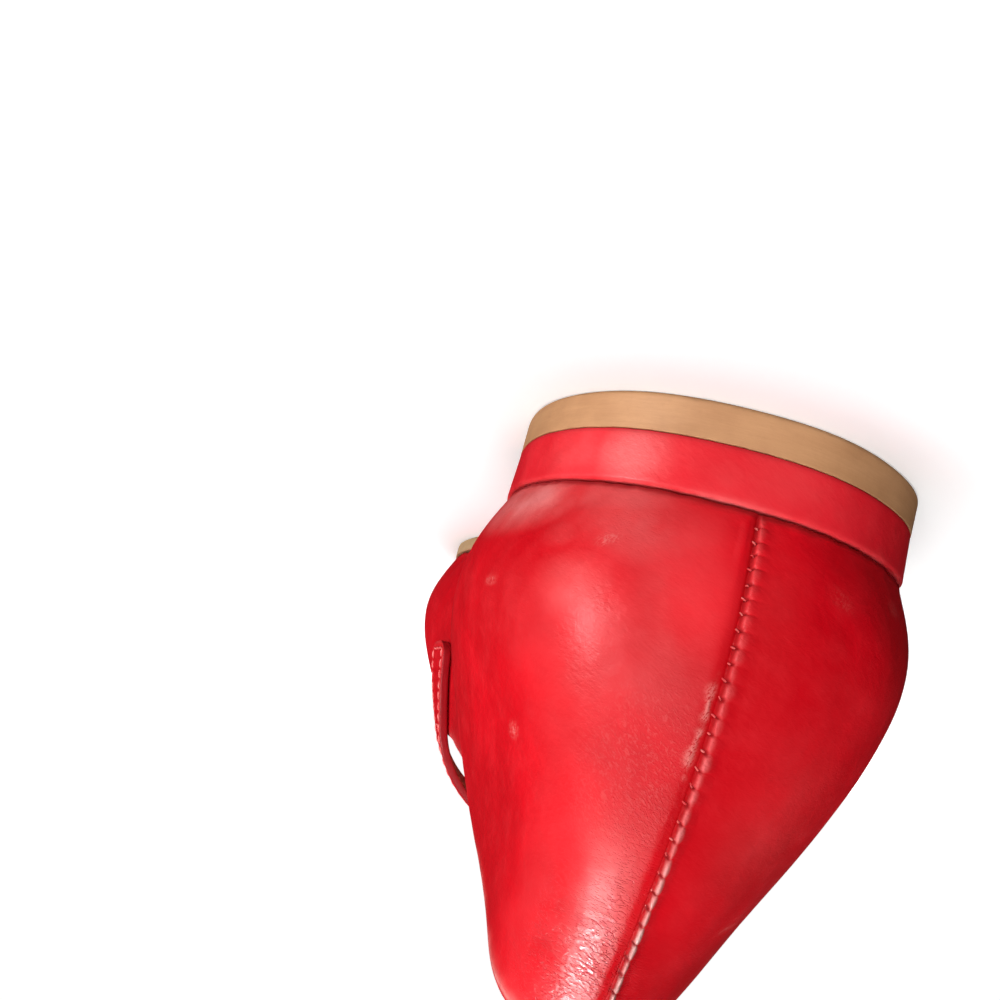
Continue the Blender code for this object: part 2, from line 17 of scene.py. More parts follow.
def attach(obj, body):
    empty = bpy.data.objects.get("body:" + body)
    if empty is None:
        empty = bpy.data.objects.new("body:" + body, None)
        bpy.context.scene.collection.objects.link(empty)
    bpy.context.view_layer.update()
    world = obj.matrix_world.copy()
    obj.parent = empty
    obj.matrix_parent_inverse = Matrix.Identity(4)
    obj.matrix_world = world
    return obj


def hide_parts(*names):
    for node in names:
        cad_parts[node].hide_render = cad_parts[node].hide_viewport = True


MM = 0.001

# Sizes shared with the solids
MIDDLE = 119.8 * MM          # heel seat's back edge to the middle of the shoe
WALL = 1.8 * MM
MARGIN = 8.0 * MM
CLEARANCE = 0.3 * MM
HEEL_HEIGHT = 11.5 * MM
SOLE_THICKNESS = 3.2 * MM
SOLE_EDGE = 0.6 * MM
SOLE_TIP = 243.0 * MM
TOE_SPRING = 6.5 * MM
INSOLE_THICKNESS = 2.2 * MM
INSOLE_INSET = 2.3 * MM
TOP_PIECE_HEIGHT = 4.6 * MM
HEEL_EDGE = 0.5 * MM
HEEL_BREAST = 50.0 * MM
BALL_BACK = 148.0 * MM
BALL_FRONT = 182.0 * MM
STRAP_ALONG = 123.0 * MM
STRAP_WIDTH = 12.0 * MM
STRAP_THICKNESS = 1.8 * MM
STRAP_TOP = 61.5 * MM
STRAP_SLOPE = 0.30
STRAP_SEWN = 20.0 * MM
BUCKLE_DROP = 10.0 * MM
STRAP_TIP = 17.0 * MM
BUCKLE_LENGTH = 16.0 * MM
BUCKLE_BAR = 1.8 * MM
CENTRE_BAR = 1.6 * MM
PIN_THICKNESS = 1.3 * MM
HOLE_DIAMETER = 2.3 * MM
HOLE_SPACING = 6.0 * MM
HOLES = 3
PIN_HOLE = 1.8 * MM

# Back seam: ridge, groove and the stitches across them
SEAM_PITCH = 1.94 * MM
SEAM_THREAD = 0.19 * MM

# Fine stitching of collar and strap
STITCH_PITCH = 2.3 * MM
STITCH_LENGTH = 1.75 * MM
STITCH_THREAD = 0.42 * MM
TURNED_IN = 6.5 * MM         # collar edge folded under the leather
STRAP_STITCHES = 1.7 * MM    # from the strap's edge

# Fineness of the upper
SEAM_COLUMN = 0.13 * MM
SEAM_COLUMNS = 20            # to each side of the seam
COLUMN = 1.45 * MM
SEAM_ROW = 0.16 * MM

# For each section the foot (its height is the sole's), the bulge, the shoulder and the collar:
# across, along and up in millimetres, where up is measured from the heel seat
SECTIONS = (
    ((-1.8, 0.4), (-1.5, -5.2, 13), (-0.5, -1.8, 38), (2, 4.6, 60)),              # back seam
    ((13.1, 4), (16.3, 0, 12), (12.5, 2.6, 35.5), (11.6, 8.8, 59)),               # inner counter
    ((23.3, 16.5), (27, 15, 11), (19.5, 16.2, 32.5), (15.6, 20.6, 52.4)),         # inner heel curve
    ((26.8, 35), (30.7, 36, 10.5), (26.1, 37, 28.5), (19.7, 40, 44.6)),           # inner heel side
    ((23.9, 60), (29.8, 61, 12.5), (27.6, 61, 25), (22.6, 62, 38.4)),             # inner seat
    ((18, 90), (25.6, 90, 11), (26.4, 89, 23), (25.4, 88, 35.6)),                 # arch
    ((22.5, 120), (30.3, 119, 8.5), (30.3, 116.5, 21), (27.4, 113, 34.5)),        # inner waist
    ((33, 145), (38.2, 144, 5), (36, 141, 20), (29.3, 136, 34.2)),                # inner instep
    ((39, 170), (43.1, 169.5, 4), (38.4, 164, 19), (27.4, 155, 34.6)),            # inner ball
    ((37.2, 196), (41, 196, 3.5), (34.4, 187, 17.6), (21.6, 169, 35)),            # inner toe
    ((29.4, 221.5), (32.8, 222.8, 4), (25.2, 210, 16.4), (13, 177, 34.9)),        # inner toe corner
    ((17.6, 237.6), (20, 239.8, 4.6), (15.4, 224, 15.4), (6, 180.4, 34.7)),       # big toe
    ((4, 243), (4.2, 246, 4.8), (3, 228.5, 15), (0, 181.4, 34.6)),                # toe tip
    ((-10, 238.6), (-11.6, 241.2, 4.6), (-9.6, 225.6, 15.2), (-6, 180.2, 34.5)),  # small toes
    ((-23, 222.5), (-26.4, 223.8, 4), (-21, 210.5, 16), (-13, 176.6, 34.3)),      # outer toe corner
    ((-33.8, 196), (-38.6, 195.6, 3.5), (-32.4, 186, 17), (-21.4, 168.5, 33.9)),  # outer toe
    ((-38.8, 166), (-43.3, 166, 4), (-39.2, 160.5, 17.4), (-27, 154, 33.2)),      # outer ball
    ((-37.6, 141), (-42.6, 140.5, 5.5), (-39.4, 138, 18), (-29.6, 135, 32.6)),    # outer instep
    ((-33.8, 116), (-38.8, 115.5, 7.5), (-36.4, 114.5, 19.4), (-30, 112, 32.8)),  # outer waist
    ((-29.6, 90), (-35, 90, 10), (-33, 89, 21.4), (-28.4, 88, 34.4)),             # outer shank
    ((-26.6, 60), (-32.2, 60.5, 12), (-29.6, 61, 24.4), (-25, 62, 37.9)),         # outer seat
    ((-25.9, 35), (-29.6, 35, 8), (-26.7, 37, 25.5), (-21.9, 41, 43.6)),          # outer heel side
    ((-23.3, 16.5), (-25.8, 14.5, 8.5), (-21.6, 16.2, 30), (-13.2, 22.5, 49.8)),  # outer heel curve
    ((-13.5, 4.4), (-17.1, 0.4, 10.5), (-12.4, 3.2, 35), (-5.8, 9.8, 56.8)),      # outer counter
)

# Creases across the vamp, where the foot bends, seen from above; millimetres
Crease = namedtuple("Crease", "across_1 along_1 across_2 along_2 bow depth width")
CREASES = (
    Crease(-35, 176, 30, 181, 13.0, 0.40, 2.6),
    Crease(-26, 190, 24, 193, 9.0, 0.22, 2.2),
    Crease(-40, 158, -24, 172, 2.0, 0.30, 2.4),
    Crease(40, 163, 22, 178, -2.0, 0.30, 2.4),
    Crease(-41, 149, -31, 156, 0.5, 0.20, 2.0),
    Crease(40, 152, 31, 160, -0.5, 0.20, 2.0),
)

# Short folds that run up from the foot of the counter; way is the distance from the back seam
Fold = namedtuple("Fold", "way lean start end depth width")
FOLDS = (
    Fold(11.6, 0.10, 0.0, 6.0, 0.16, 0.7),
    Fold(13.4, -0.05, 0.0, 4.0, 0.10, 0.6),
    Fold(-27.0, 0.30, 0.0, 5.0, 0.14, 0.9),
    Fold(-14.5, -0.15, 0.0, 3.5, 0.10, 0.8),
    Fold(29.0, -0.25, 0.0, 5.0, 0.14, 0.9),
    Fold(2.6, 0.0, 2.0, 9.0, 0.12, 0.8),
)


# ---------------------------------------------------------------- the last

def smooth_step(x):
    x = np.clip(x, 0.0, 1.0)
    return x * x * (3.0 - 2.0 * x)


def bell(x, width=1.0):
    """1 at 0, falling off softly to both sides."""
    return np.exp(-(x / width) ** 2)


def unit(vectors):
    return vectors / np.linalg.norm(vectors, axis=-1, keepdims=True)


def sums(steps):
    """Running totals of the steps, from 0."""
    return np.insert(np.cumsum(steps), 0, 0)


def lengths_along(points):
    """Length of a line of points up to each of them, from 0."""
    return sums(np.linalg.norm(np.diff(points, axis=0), axis=1))


def points_at(at, places, points):
    """Points in between on a line of points, whose places are given."""
    return np.stack([np.interp(at, places, values) for values in points.T], axis=1)


def cubic(share, gap, values, bends):
    """Points of cubics that join two values each and have the given second derivatives there."""
    b = share[:, None]
    a = 1.0 - b
    return (a * values[0] + b * values[1]
            + ((a ** 3 - a) * bends[0] + (b ** 3 - b) * bends[1]) * gap[:, None] ** 2 / 6.0)


def closed_spline(knots, values, at):
    """Smooth closed curve through values at knots; the last knot is the first point again."""
    gaps = np.diff(knots)
    count = len(values)
    slopes = (np.roll(values, -1, axis=0) - values) / gaps[:, None]
    matrix = np.zeros((count, count))
    for i in range(count):
        matrix[i, i - 1] += gaps[i - 1]
        matrix[i, i] += 2.0 * (gaps[i - 1] + gaps[i])
        matrix[i, (i + 1) % count] += gaps[i]
    bends = np.linalg.solve(matrix, 6.0 * (slopes - np.roll(slopes, 1, axis=0)))
    at = np.mod(at, knots[-1])
    first = np.clip(np.searchsorted(knots, at, side="right") - 1, 0, count - 1)
    ends = (first, (first + 1) % count)
    return cubic((at - knots[first]) / gaps[first], gaps[first],
                 [values[end] for end in ends], [bends[end] for end in ends])


def rib_spline(controls, up):
    """Smooth curves through four control points each; up runs from 0 (foot) to 1 (collar)."""
    steps = np.linalg.norm(np.diff(controls, axis=1), axis=2)
    knots = np.concatenate([np.zeros((len(steps), 1)), np.cumsum(steps, axis=1)], axis=1)
    slopes = np.diff(controls, axis=1) / steps[:, :, None]
    matrix = np.zeros((len(steps), 2, 2))
    matrix[:, 0, 0] = 2.0 * (steps[:, 0] + steps[:, 1])
    matrix[:, 0, 1] = matrix[:, 1, 0] = steps[:, 1]
    matrix[:, 1, 1] = 2.0 * (steps[:, 1] + steps[:, 2])
    bends = np.zeros_like(controls)
    bends[:, 1:3] = np.linalg.solve(matrix, 6.0 * np.diff(slopes, axis=1))
    place = up * knots[:, 3]
    row = np.arange(len(steps))
    first = np.clip((place[:, None] >= knots[:, 1:3]).sum(axis=1), 0, 2)
    gap = steps[row, first]
    return cubic((place - knots[row, first]) / gap, gap,
                 [controls[row, end] for end in (first, first + 1)],
                 [bends[row, end] for end in (first, first + 1)])


def sole_line(along):
    """Height of the outsole's upper face, from the distance to the heel seat's back edge."""
    fall = smooth_step((along - HEEL_BREAST) / (BALL_BACK - HEEL_BREAST))
    rise = np.maximum(along - BALL_FRONT, 0.0) / (SOLE_TIP - BALL_FRONT)
    return HEEL_HEIGHT + (SOLE_THICKNESS - HEEL_HEIGHT) * fall + TOE_SPRING * rise ** 2


def section_controls():
    """Control points of all sections in metres, as an array of section, point and axis."""
    controls = []
    for (across, along), *above in SECTIONS:
        foot = (across * MM, along * MM, sole_line(along * MM) + CLEARANCE)
        controls.append([foot] + [(x * MM, y * MM, HEEL_HEIGHT + z * MM) for x, y, z in above])
    return np.array(controls)


CONTROLS = section_controls()
KNOTS = lengths_along(np.append(CONTROLS[:, 1], CONTROLS[:1, 1], axis=0))
ROUND = KNOTS[-1]            # way round the shoe along the bulge, from seam to seam
TOE_KNOT = KNOTS[12]         # where the section "toe tip" lies


def last_point(way, up):
    """Points of the last's surface: way round the shoe in metres, up from 0 to 1."""
    way, up = np.broadcast_arrays(np.asarray(way, float), np.asarray(up, float))
    flat = CONTROLS.reshape(len(CONTROLS), 12)
    controls = closed_spline(KNOTS, flat, way.ravel()).reshape(-1, 4, 3)
    points = rib_spline(controls, up.ravel())
    low = up.ravel() < 1e-9
    points[low, 2] = sole_line(points[low, 1]) + CLEARANCE
    return points.reshape(way.shape + (3,))


def last_run(way, up):
    """Step of 1 mm round the last's surface."""
    return last_point(way + 0.5 * MM, up) - last_point(way - 0.5 * MM, up)


def last_normal(way, up):
    """Unit normals of the last's surface, pointing out of the shoe."""
    way, up = np.broadcast_arrays(np.asarray(way, float), np.asarray(up, float))
    low = np.clip(up - 0.01, 0.001, 1.0)
    high = np.clip(up + 0.01, 0.001, 1.0)
    return unit(np.cross(last_run(way, up), last_point(way, high) - last_point(way, low)))


def foot_loop(way, outward=0.0):
    """The foot of the upper seen from above, moved outwards by a distance."""
    points = last_point(way, 0.0)
    run = unit(last_run(way, 0.0)[:, :2])
    points[:, 0] += run[:, 1] * outward
    points[:, 1] -= run[:, 0] * outward
    return points


def way_at(along, side, up=0.0):
    """Way round the shoe at which a line of the last lies at a given distance along it."""
    ways = np.linspace(0.0, TOE_KNOT, 400) if side > 0 else np.linspace(ROUND, TOE_KNOT, 400)
    return float(np.interp(along, last_point(ways, up)[:, 1], ways))


def rib_length(ways):
    """Length of the upper from foot to collar at each way round the shoe."""
    points = last_point(np.asarray(ways)[:, None], np.linspace(0.0, 1.0, 40)[None, :])
    return np.linalg.norm(np.diff(points, axis=1), axis=2).sum(axis=1)


# ---------------------------------------------------------------- meshes

def link_object(name, data):
    made = bpy.data.objects.new(name, data)
    bpy.context.scene.collection.objects.link(made)
    return made


def closed_mesh(name, points, faces):
    """A mesh of closed bodies whose faces all look outwards; points are in the shared frame."""
    mesh = bpy.data.meshes.new(name)
    mesh.from_pydata(points.tolist(), [], [tuple(int(i) for i in face) for face in faces])
    body = bmesh.new()
    body.from_mesh(mesh)
    bmesh.ops.recalc_face_normals(body, faces=body.faces)
    body.to_mesh(mesh)
    body.free()
    return mesh


def add_piece(name, vertices, faces, materials, node=None, kinds=None, marks=None):
    """One piece of the shoe, and the solid it replaces.

    kinds are the materials' numbers on its faces; marks are named values on its vertices, which
    the materials read.
    """
    points = np.array(vertices, float).reshape(-1, 3) - (0.0, MIDDLE, 0.0)
    mesh = closed_mesh(name, points, faces)
    for material in materials:
        mesh.materials.append(material)
    if kinds is not None:
        mesh.polygons.foreach_set("material_index", kinds)
    for mark, values in (marks or {}).items():
        layer = mesh.attributes.new(mark, "FLOAT", "POINT")
        layer.data.foreach_set("value", np.asarray(values, np.float32).ravel())
    mesh.validate()
    mesh.shade_smooth()
    mesh.set_sharp_from_angle(angle=math.radians(50))
    piece = link_object(name, mesh)
    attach(piece, "root")
    if node:
        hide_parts(node)
    return piece


def ring_faces(rings, count, closed_rings=False, start=0, caps=False):
    """Quads between neighbouring closed rings of points.

    The rings may close on themselves too, or end in caps.
    """
    faces = []
    for k in range(rings if closed_rings else rings - 1):
        here = start + k * count
        there = start + (k + 1) % rings * count
        for i in range(count):
            j = (i + 1) % count
            faces.append((here + i, here + j, there + j, there + i))
    if caps:
        last = start + (rings - 1) * count
        faces += [tuple(range(start, start + count)), tuple(range(last, last + count))]
    return faces


def rod(path, across, thickness, closed=False, sides=8):
    """Rings round a path in a plane whose normal is across; thickness may change along it."""
    path = np.array(path)
    across = np.broadcast_to(np.asarray(across, float), path.shape)
    thickness = np.broadcast_to(np.asarray(thickness, float), (len(path),))
    if closed:
        run = np.roll(path, -1, axis=0) - np.roll(path, 1, axis=0)
    else:
        run = np.gradient(path, axis=0)
    side = unit(np.cross(run, across))
    angles = 2.0 * math.pi * (np.arange(sides) + 0.5) / sides
    rings = (path[:, None, :] + thickness[:, None, None] / 2
             * (np.cos(angles)[None, :, None] * side[:, None, :]
                + np.sin(angles)[None, :, None] * across[:, None, :]))
    return rings.reshape(-1, 3), ring_faces(len(path), sides, closed, caps=not closed)


class Parts:
    """Collects several bodies into one mesh."""

    def __init__(self):
        self.vertices = []
        self.faces = []
        self.count = 0

    def add(self, body):
        vertices, faces = body
        self.vertices.append(vertices)
        self.faces += [tuple(i + self.count for i in face) for face in faces]
        self.count += len(vertices)

    def piece(self, name, material, slot, node=None):
        return add_piece(name, np.concatenate(self.vertices), self.faces, [material], node)


def add_stitches(parts, points, normals):
    """A row of stitches on a surface: each rises from its hole, lies flat and dips in again."""
    places = lengths_along(points)
    count = max(int(places[-1] / STITCH_PITCH), 1)
    at = (np.arange(count) + 0.5) * places[-1] / count
    middles, outs = points_at(at, places, points), points_at(at, places, normals)
    for middle, run, out in zip(middles, unit(np.gradient(middles, axis=0)), unit(outs)):
        side = unit(np.cross(run, out))
        path = []
        for share, lift in ((-0.5, -0.7), (-0.46, -0.15), (-0.3, 0.22), (0.0, 0.32),
                            (0.3, 0.22), (0.46, -0.15), (0.5, -0.7)):
            slant = side * share * STITCH_THREAD * 0.5
            path.append(middle + run * share * STITCH_LENGTH + out * lift * STITCH_THREAD + slant)
        swell = np.array([0.7, 0.9, 1.0, 1.05, 1.0, 0.9, 0.7])
        parts.add(rod(path, side, STITCH_THREAD * swell, sides=6))


def wobble(points, scale, seed=0.0):
    """Soft seeded unevenness between -1 and 1 at points; scale is the size of its waves."""
    shift = Vector((seed, seed * 0.7, -seed))
    return np.array([noise.noise(Vector(p) / scale + shift) for p in points])


# ---------------------------------------------------------------- upper

def stitch_phase(height):
    """Where a height lies between two stitches, 0 at a stitch, and the number of its puff."""
    beat = height / SEAM_PITCH
    beat = beat + 0.07 * np.sin(beat * 1.9) + 0.05 * np.sin(beat * 4.3 + 1.0)
    return beat - np.round(beat), np.floor(beat)


def seam_relief(offset, height):
    """Relief of the closed back seam at a signed distance from it, with its marks.

    The ridge lies on the outer side (offset below 0) and puffs out between the stitches; each
    stitch sinks into it with a hole and a short cut.  The groove lies on the inner side.  Slit,
    holes, cuts and groove get painted shade; the puffs' tops are paler, partly from wear and partly
    as a painted highlight that grows towards the collar and the side that faces the light.  All
    plain numbers are millimetres or shares.
    """
    side, up = offset / MM, height / MM
    phase, number = stitch_phase(height)
    vary = np.sin(number * 2.4) * np.sin(number * 5.7 + 1.0)      # from puff to puff
    away = phase * SEAM_PITCH / MM
    higher = smooth_step((up - 10.0) / 45.0)
    puff = np.abs(np.sin(math.pi * phase)) ** 0.8
    swell = puff ** 0.4
    crest = -0.50 + (0.12 + 0.06 * vary) * puff
    right = 0.26 + 0.22 * puff
    on_left = side < crest
    wide = bell(side - crest, np.where(on_left, 1.6 - 0.6 * higher, right))
    lobe_width = np.where(on_left, 0.78 + 0.45 * swell, right)
    lobe = np.exp(-(np.abs(side - crest) / lobe_width) ** 2.2)
    ridge = (0.09 + 0.16 * higher) * wide
    ridge = ridge + (0.22 + 0.07 * vary) * (0.5 * puff + 0.5 * swell) * lobe
    ridge = ridge * smooth_step(up / 2.5)
    slit = bell(side - 0.16, 0.28)
    broad = 0.75 + 0.35 * higher
    groove = bell(side - 0.38, broad) * smooth_step((side + 0.30) / 0.55)
    hole = bell(side + 0.12, 0.22) * bell(away, 0.20)
    cut = smooth_step((side + 0.60 + 0.35 * higher + 0.20 * vary) / 0.7)
    cut = cut * smooth_step(-side / 0.2) * bell(away + side * 0.16, 0.09)
    relief = ridge - 0.32 * slit - 0.40 * groove - 0.36 * hole - 0.12 * cut
    # Painted shade: the slit, a line beside the groove, the stitch holes and the cuts are darkened
    # in the colour.
    line = bell(side - 0.08, 0.17) * (1.0 - higher)
    hollow_shade = np.clip(0.22 * slit + 0.50 * line + 1.2 * hole + 0.70 * cut, 0.0, 1.0)
    # Pale puff tops: partly wear, partly a painted highlight that is brighter towards the collar
    # and on the side of each puff that faces the light.
    reach = (0.80 + 0.55 * swell + 0.20 * vary) * (1.0 - 0.27 * higher)
    wear_and_highlight = smooth_step((side + reach) / (reach - 0.10 - 0.40 * higher))
    wear_and_highlight = wear_and_highlight * smooth_step((0.02 - side) / 0.22)
    wear_and_highlight = wear_and_highlight * (0.55 + 0.40 * puff) * (0.40 + 1.00 * higher) * (0.85 + 0.30 * vary)
    # Painted shade: the groove is darkened towards the deep red.
    groove_shade = smooth_step((side + 0.05) / 0.2) * bell(np.maximum(side - 0.30, 0.0), 0.45 * broad)
    fade = smooth_step((up + 0.4) / 1.2)
    return relief * fade * MM, hollow_shade, np.clip(wear_and_highlight * (1.0 - hollow_shade), 0.0, 1.0), groove_shade


def peak_relief(offset, height):
    """The two halves of the counter meet in a soft peak that grows towards the collar."""
    side = np.abs(offset) / (5.0 * MM)
    grows = smooth_step((height - 34.0 * MM) / (28.0 * MM))
    return 1.1 * MM * grows * (np.exp(-side) - 0.35 * bell(side, 3.0))


def seam_fuzz(offset, height):
    """Worn, raised fibres beside the groove, half way up the counter."""
    side, up = offset / MM, height / MM
    centre = 1.25 + 0.04 * (up - 28.0) + 0.15 * np.sin(up * 0.9)
    width = 0.42 + 0.16 * np.sin(up * 1.7 + 1.0)
    reach = smooth_step((up - 20.0) / 4.0) * smooth_step((33.0 - up) / 2.0)
    reach = reach * (1.0 - 0.8 * smooth_step((np.sin(up * 1.25) - 0.6) / 0.4))
    return reach * bell(side - centre, width)


def crease_relief(points):
    """Soft troughs, each with a low ridge in front, where the forefoot bends, and painted shade in
    the troughs.
    """
    relief, hollow_shade = np.zeros((2, len(points)))
    for crease in CREASES:
        start = np.array([crease.across_1, crease.along_1]) * MM
        run = np.array([crease.across_2, crease.along_2]) * MM - start
        length = np.linalg.norm(run)
        run = run / length
        side = np.array([-run[1], run[0]])
        if side[1] < 0.0:
            side = -side
        local = points[:, :2] - start
        share = local @ run / length
        bow = crease.bow * MM * (1.0 - (2.0 * share - 1.0) ** 2)
        ripple = 0.7 * MM * np.sin(share * 17.0 + crease.depth * 40.0)
        away = (local @ side - bow - ripple) / (crease.width * MM)
        fade = smooth_step(share / 0.25) * smooth_step((1.0 - share) / 0.25)
        wave = 0.45 * bell(away - 1.7) - bell(away) + 0.35 * bell(away + 1.7)
        relief += crease.depth * MM * fade * wave
        # Painted shade: the bottom of each trough is darkened in the colour.
        hollow_shade += 0.12 * fade * bell(away, 0.6)
    return relief, np.clip(hollow_shade, 0.0, 1.0)


def fold_relief(offset, height):
    """Short folds where the counter is drawn in over the sole, and the ripples beside them."""
    side, up = offset / MM, height / MM
    relief = np.zeros(len(offset))
    for fold in FOLDS:
        away = (side - fold.way - fold.lean * up) / fold.width
        fade = smooth_step((up - fold.start) / 0.8 + 0.6) * smooth_step((fold.end - up) / 3.0)
        relief += fold.depth * fade * (0.5 * bell(away - 1.6) - bell(away))
    ripple = np.sin(side / 1.9 + 1.4 * np.sin(side / 6.3))
    tucks = np.sin(side / 0.62 + 2.0 * np.sin(side / 2.9))
    return (relief + 0.05 * ripple * np.exp(-up / 2.2) + 0.07 * tucks * bell(up, 0.9)) * MM


def surface_relief(offset, height, drop, points):
    """Relief of the upper's outer face, and for each point its painted shade in hollows, its pale
    wear with painted highlight, its painted shade in the groove and its fuzz.
    """
    near = np.abs(offset) < 2.7 * MM
    relief, hollow_shade, wear_and_highlight, groove_shade = values = np.zeros((4, len(offset)))
    values[:, near] = seam_relief(offset[near], height[near])
    bends, crease_shade = crease_relief(points)
    relief += bends * smooth_step(drop / (6.0 * MM))
    relief += peak_relief(offset, height)
    relief += fold_relief(offset, height)
    uneven = 0.12 * MM * wobble(points, 15.0 * MM) + 0.05 * MM * wobble(points, 5.0 * MM, 7.0)
    relief += uneven * smooth_step(height / (3.0 * MM))
    turned_in = smooth_step((TURNED_IN + 1.2 * MM - drop) / (2.4 * MM))
    relief += 0.05 * MM * turned_in * smooth_step(drop / (1.0 * MM))
    dip = bell(offset + 46.0 * MM, 12.0 * MM) * smooth_step(1.1 - drop / (8.0 * MM))
    relief -= 0.45 * MM * dip
    line = (0.66 + 0.22 * wobble(points, 3.0 * MM, 5.0)) * MM
    # Painted shade: a dark line along the foot of the upper, where it meets the heel.
    foot = 0.97 * np.exp(-(height / line) ** 4)
    hollow_shade = np.maximum(np.maximum(hollow_shade, crease_shade), foot)
    wear_and_highlight = np.maximum(wear_and_highlight, 0.5 * np.exp(-drop / (0.5 * MM)))
    return relief, hollow_shade, wear_and_highlight, groove_shade, seam_fuzz(offset, height) * near


def upper_rows(lengths):
    """Shares of the way up for the wide rows: close together at the foot and the collar."""
    foot = np.array([0.0, 0.3, 0.7, 1.2, 1.9, 2.8]) * MM
    collar = np.array([4.6, 4.0, 3.5, 3.1, 2.75, 2.45, 2.2, 1.95, 1.65, 1.3, 0.9, 0.45, 0.0]) * MM
    rows = []
    for length in lengths:
        middle = np.linspace(foot[-1], length - collar[0], 46)[1:-1]
        rows.append(np.concatenate([foot, middle, length - collar]) / length)
    return np.array(rows)


def inner_rings(ways, lengths, relief):
    """Rings that follow the outer face: over the collar, down the lining, in under the foot.

    Also returns which bands between the rings are lining.
    """
    edge, middle = foot_loop(ways, -MARGIN), foot_loop(ways, -MARGIN / 2)
    for ring in (edge, middle):
        ring[:, 2] = sole_line(ring[:, 1]) + CLEARANCE
    normal = last_normal(ways, 1.0)
    rise = unit(last_point(ways, 1.0) - last_point(ways, 0.97))
    centre = last_point(ways, 1.0) - normal * WALL / 2
    swell = (relief * 0.7)[:, None]
    rings = []
    for turn in (25.0, 50.0, 75.0, 100.0, 130.0, 160.0):
        angle = math.radians(turn)
        over = normal * math.cos(angle) + rise * math.sin(angle)
        rings.append(centre + over * (WALL / 2 + swell * max(math.cos(angle), 0.0)))
    lining_start = len(rings) + 3
    rows = [1.0 - drop * MM / lengths for drop in (0.0, 0.8, 1.5, 2.0, 2.6, 3.3, 4.2, 6.0)]
    rows += [share * rows[-1] for share in np.linspace(1.0, 0.0, 26)[1:]]
    for ups in rows:
        bead = 0.12 * MM * bell((1.0 - ups) * lengths - 2.0 * MM, 0.5 * MM)
        rings.append(last_point(ways, ups) - last_normal(ways, ups) * (WALL - bead)[:, None])
    foot = rings[-1]
    foot[:, 2] = np.maximum(foot[:, 2], sole_line(foot[:, 1]) + CLEARANCE + WALL)
    rings += [middle + (0.0, 0.0, WALL), edge + (0.0, 0.0, WALL), edge, middle]
    bands = np.arange(len(rings) - 1)
    return rings, (bands >= lining_start) & (bands < len(rings) - 3)


def make_upper(leather, lining):
    """Hollow shell: outer face, rolled collar, lining and turned-in edge.

    Columns beside the seam have more points than the others; starts says where each begins, and
    each column's place in at are those of its points that stand in the wide rows.
    """
    fine = np.arange(-SEAM_COLUMNS, SEAM_COLUMNS + 1) * SEAM_COLUMN
    count = int((ROUND - 2 * fine[-1]) / COLUMN)
    ways = np.concatenate([fine, np.linspace(fine[-1], ROUND + fine[0], count)[1:-1]])
    lengths = rib_length(ways)
    rows = upper_rows(lengths)
    steps = np.maximum(np.ceil(np.diff(rows[0]) * lengths[0] / SEAM_ROW), 1).astype(int)
    fine_at, wide_at = sums(steps), np.arange(rows.shape[1])
    columns = [np.interp(np.arange(fine_at[-1] + 1), fine_at, row) for row in rows[:len(fine)]]
    columns += list(rows[len(fine):])
    starts = sums([len(column) for column in columns])
    owner = np.repeat(np.arange(len(ways)), np.diff(starts))

    ups, offsets = np.concatenate(columns), np.where(ways > ROUND / 2, ways - ROUND, ways)[owner]
    points = last_point(ways[owner], ups)
    relief, *marks = surface_relief(offsets, ups * lengths[owner], (1.0 - ups) * lengths[owner],
                                    points)
    outer = points + last_normal(ways[owner], ups) * relief[:, None]

    at = [start + (fine_at if i < len(fine) else wide_at) for i, start in enumerate(starts[:-1])]
    faces = []
    for at_left, at_right in zip(at, at[1:] + at[:1]):
        for r in wide_at[:-1]:
            left = range(at_left[r], at_left[r + 1] + 1)
            right = range(at_right[r], at_right[r + 1] + 1)
            if len(left) == len(right):
                faces += zip(left[:-1], right[:-1], right[1:], left[1:])
            else:
                faces.append((*right, *left[::-1]))
    tops = starts[1:] - 1
    rings, is_lining = inner_rings(ways, lengths, relief[tops])
    kinds = [0] * len(faces) + np.repeat(is_lining, len(ways)).astype(int).tolist()
    base, number = len(outer), len(ways)
    last = base + (len(rings) - 1) * number
    faces += ring_faces(len(rings), number, start=base)
    for i in range(number):
        j = (i + 1) % number
        faces.append((tops[i], tops[j], base + j, base + i))
        faces.append((last + i, last + j, starts[j], starts[i]))
    kinds += [0] * (len(faces) - len(kinds))
    unmarked = np.zeros(len(rings) * number)
    # Marks for the material: painted shade, pale wear with painted highlight, painted shade in the
    # groove, and fuzz.
    marks = {name: np.concatenate([values, unmarked])
             for name, values in zip(("hollow_shade", "wear_and_highlight", "groove_shade", "fuzz"), marks)}
    return add_piece("upper_leather", np.concatenate([outer, *rings]), faces, [leather, lining],
                     "upper", kinds, marks)


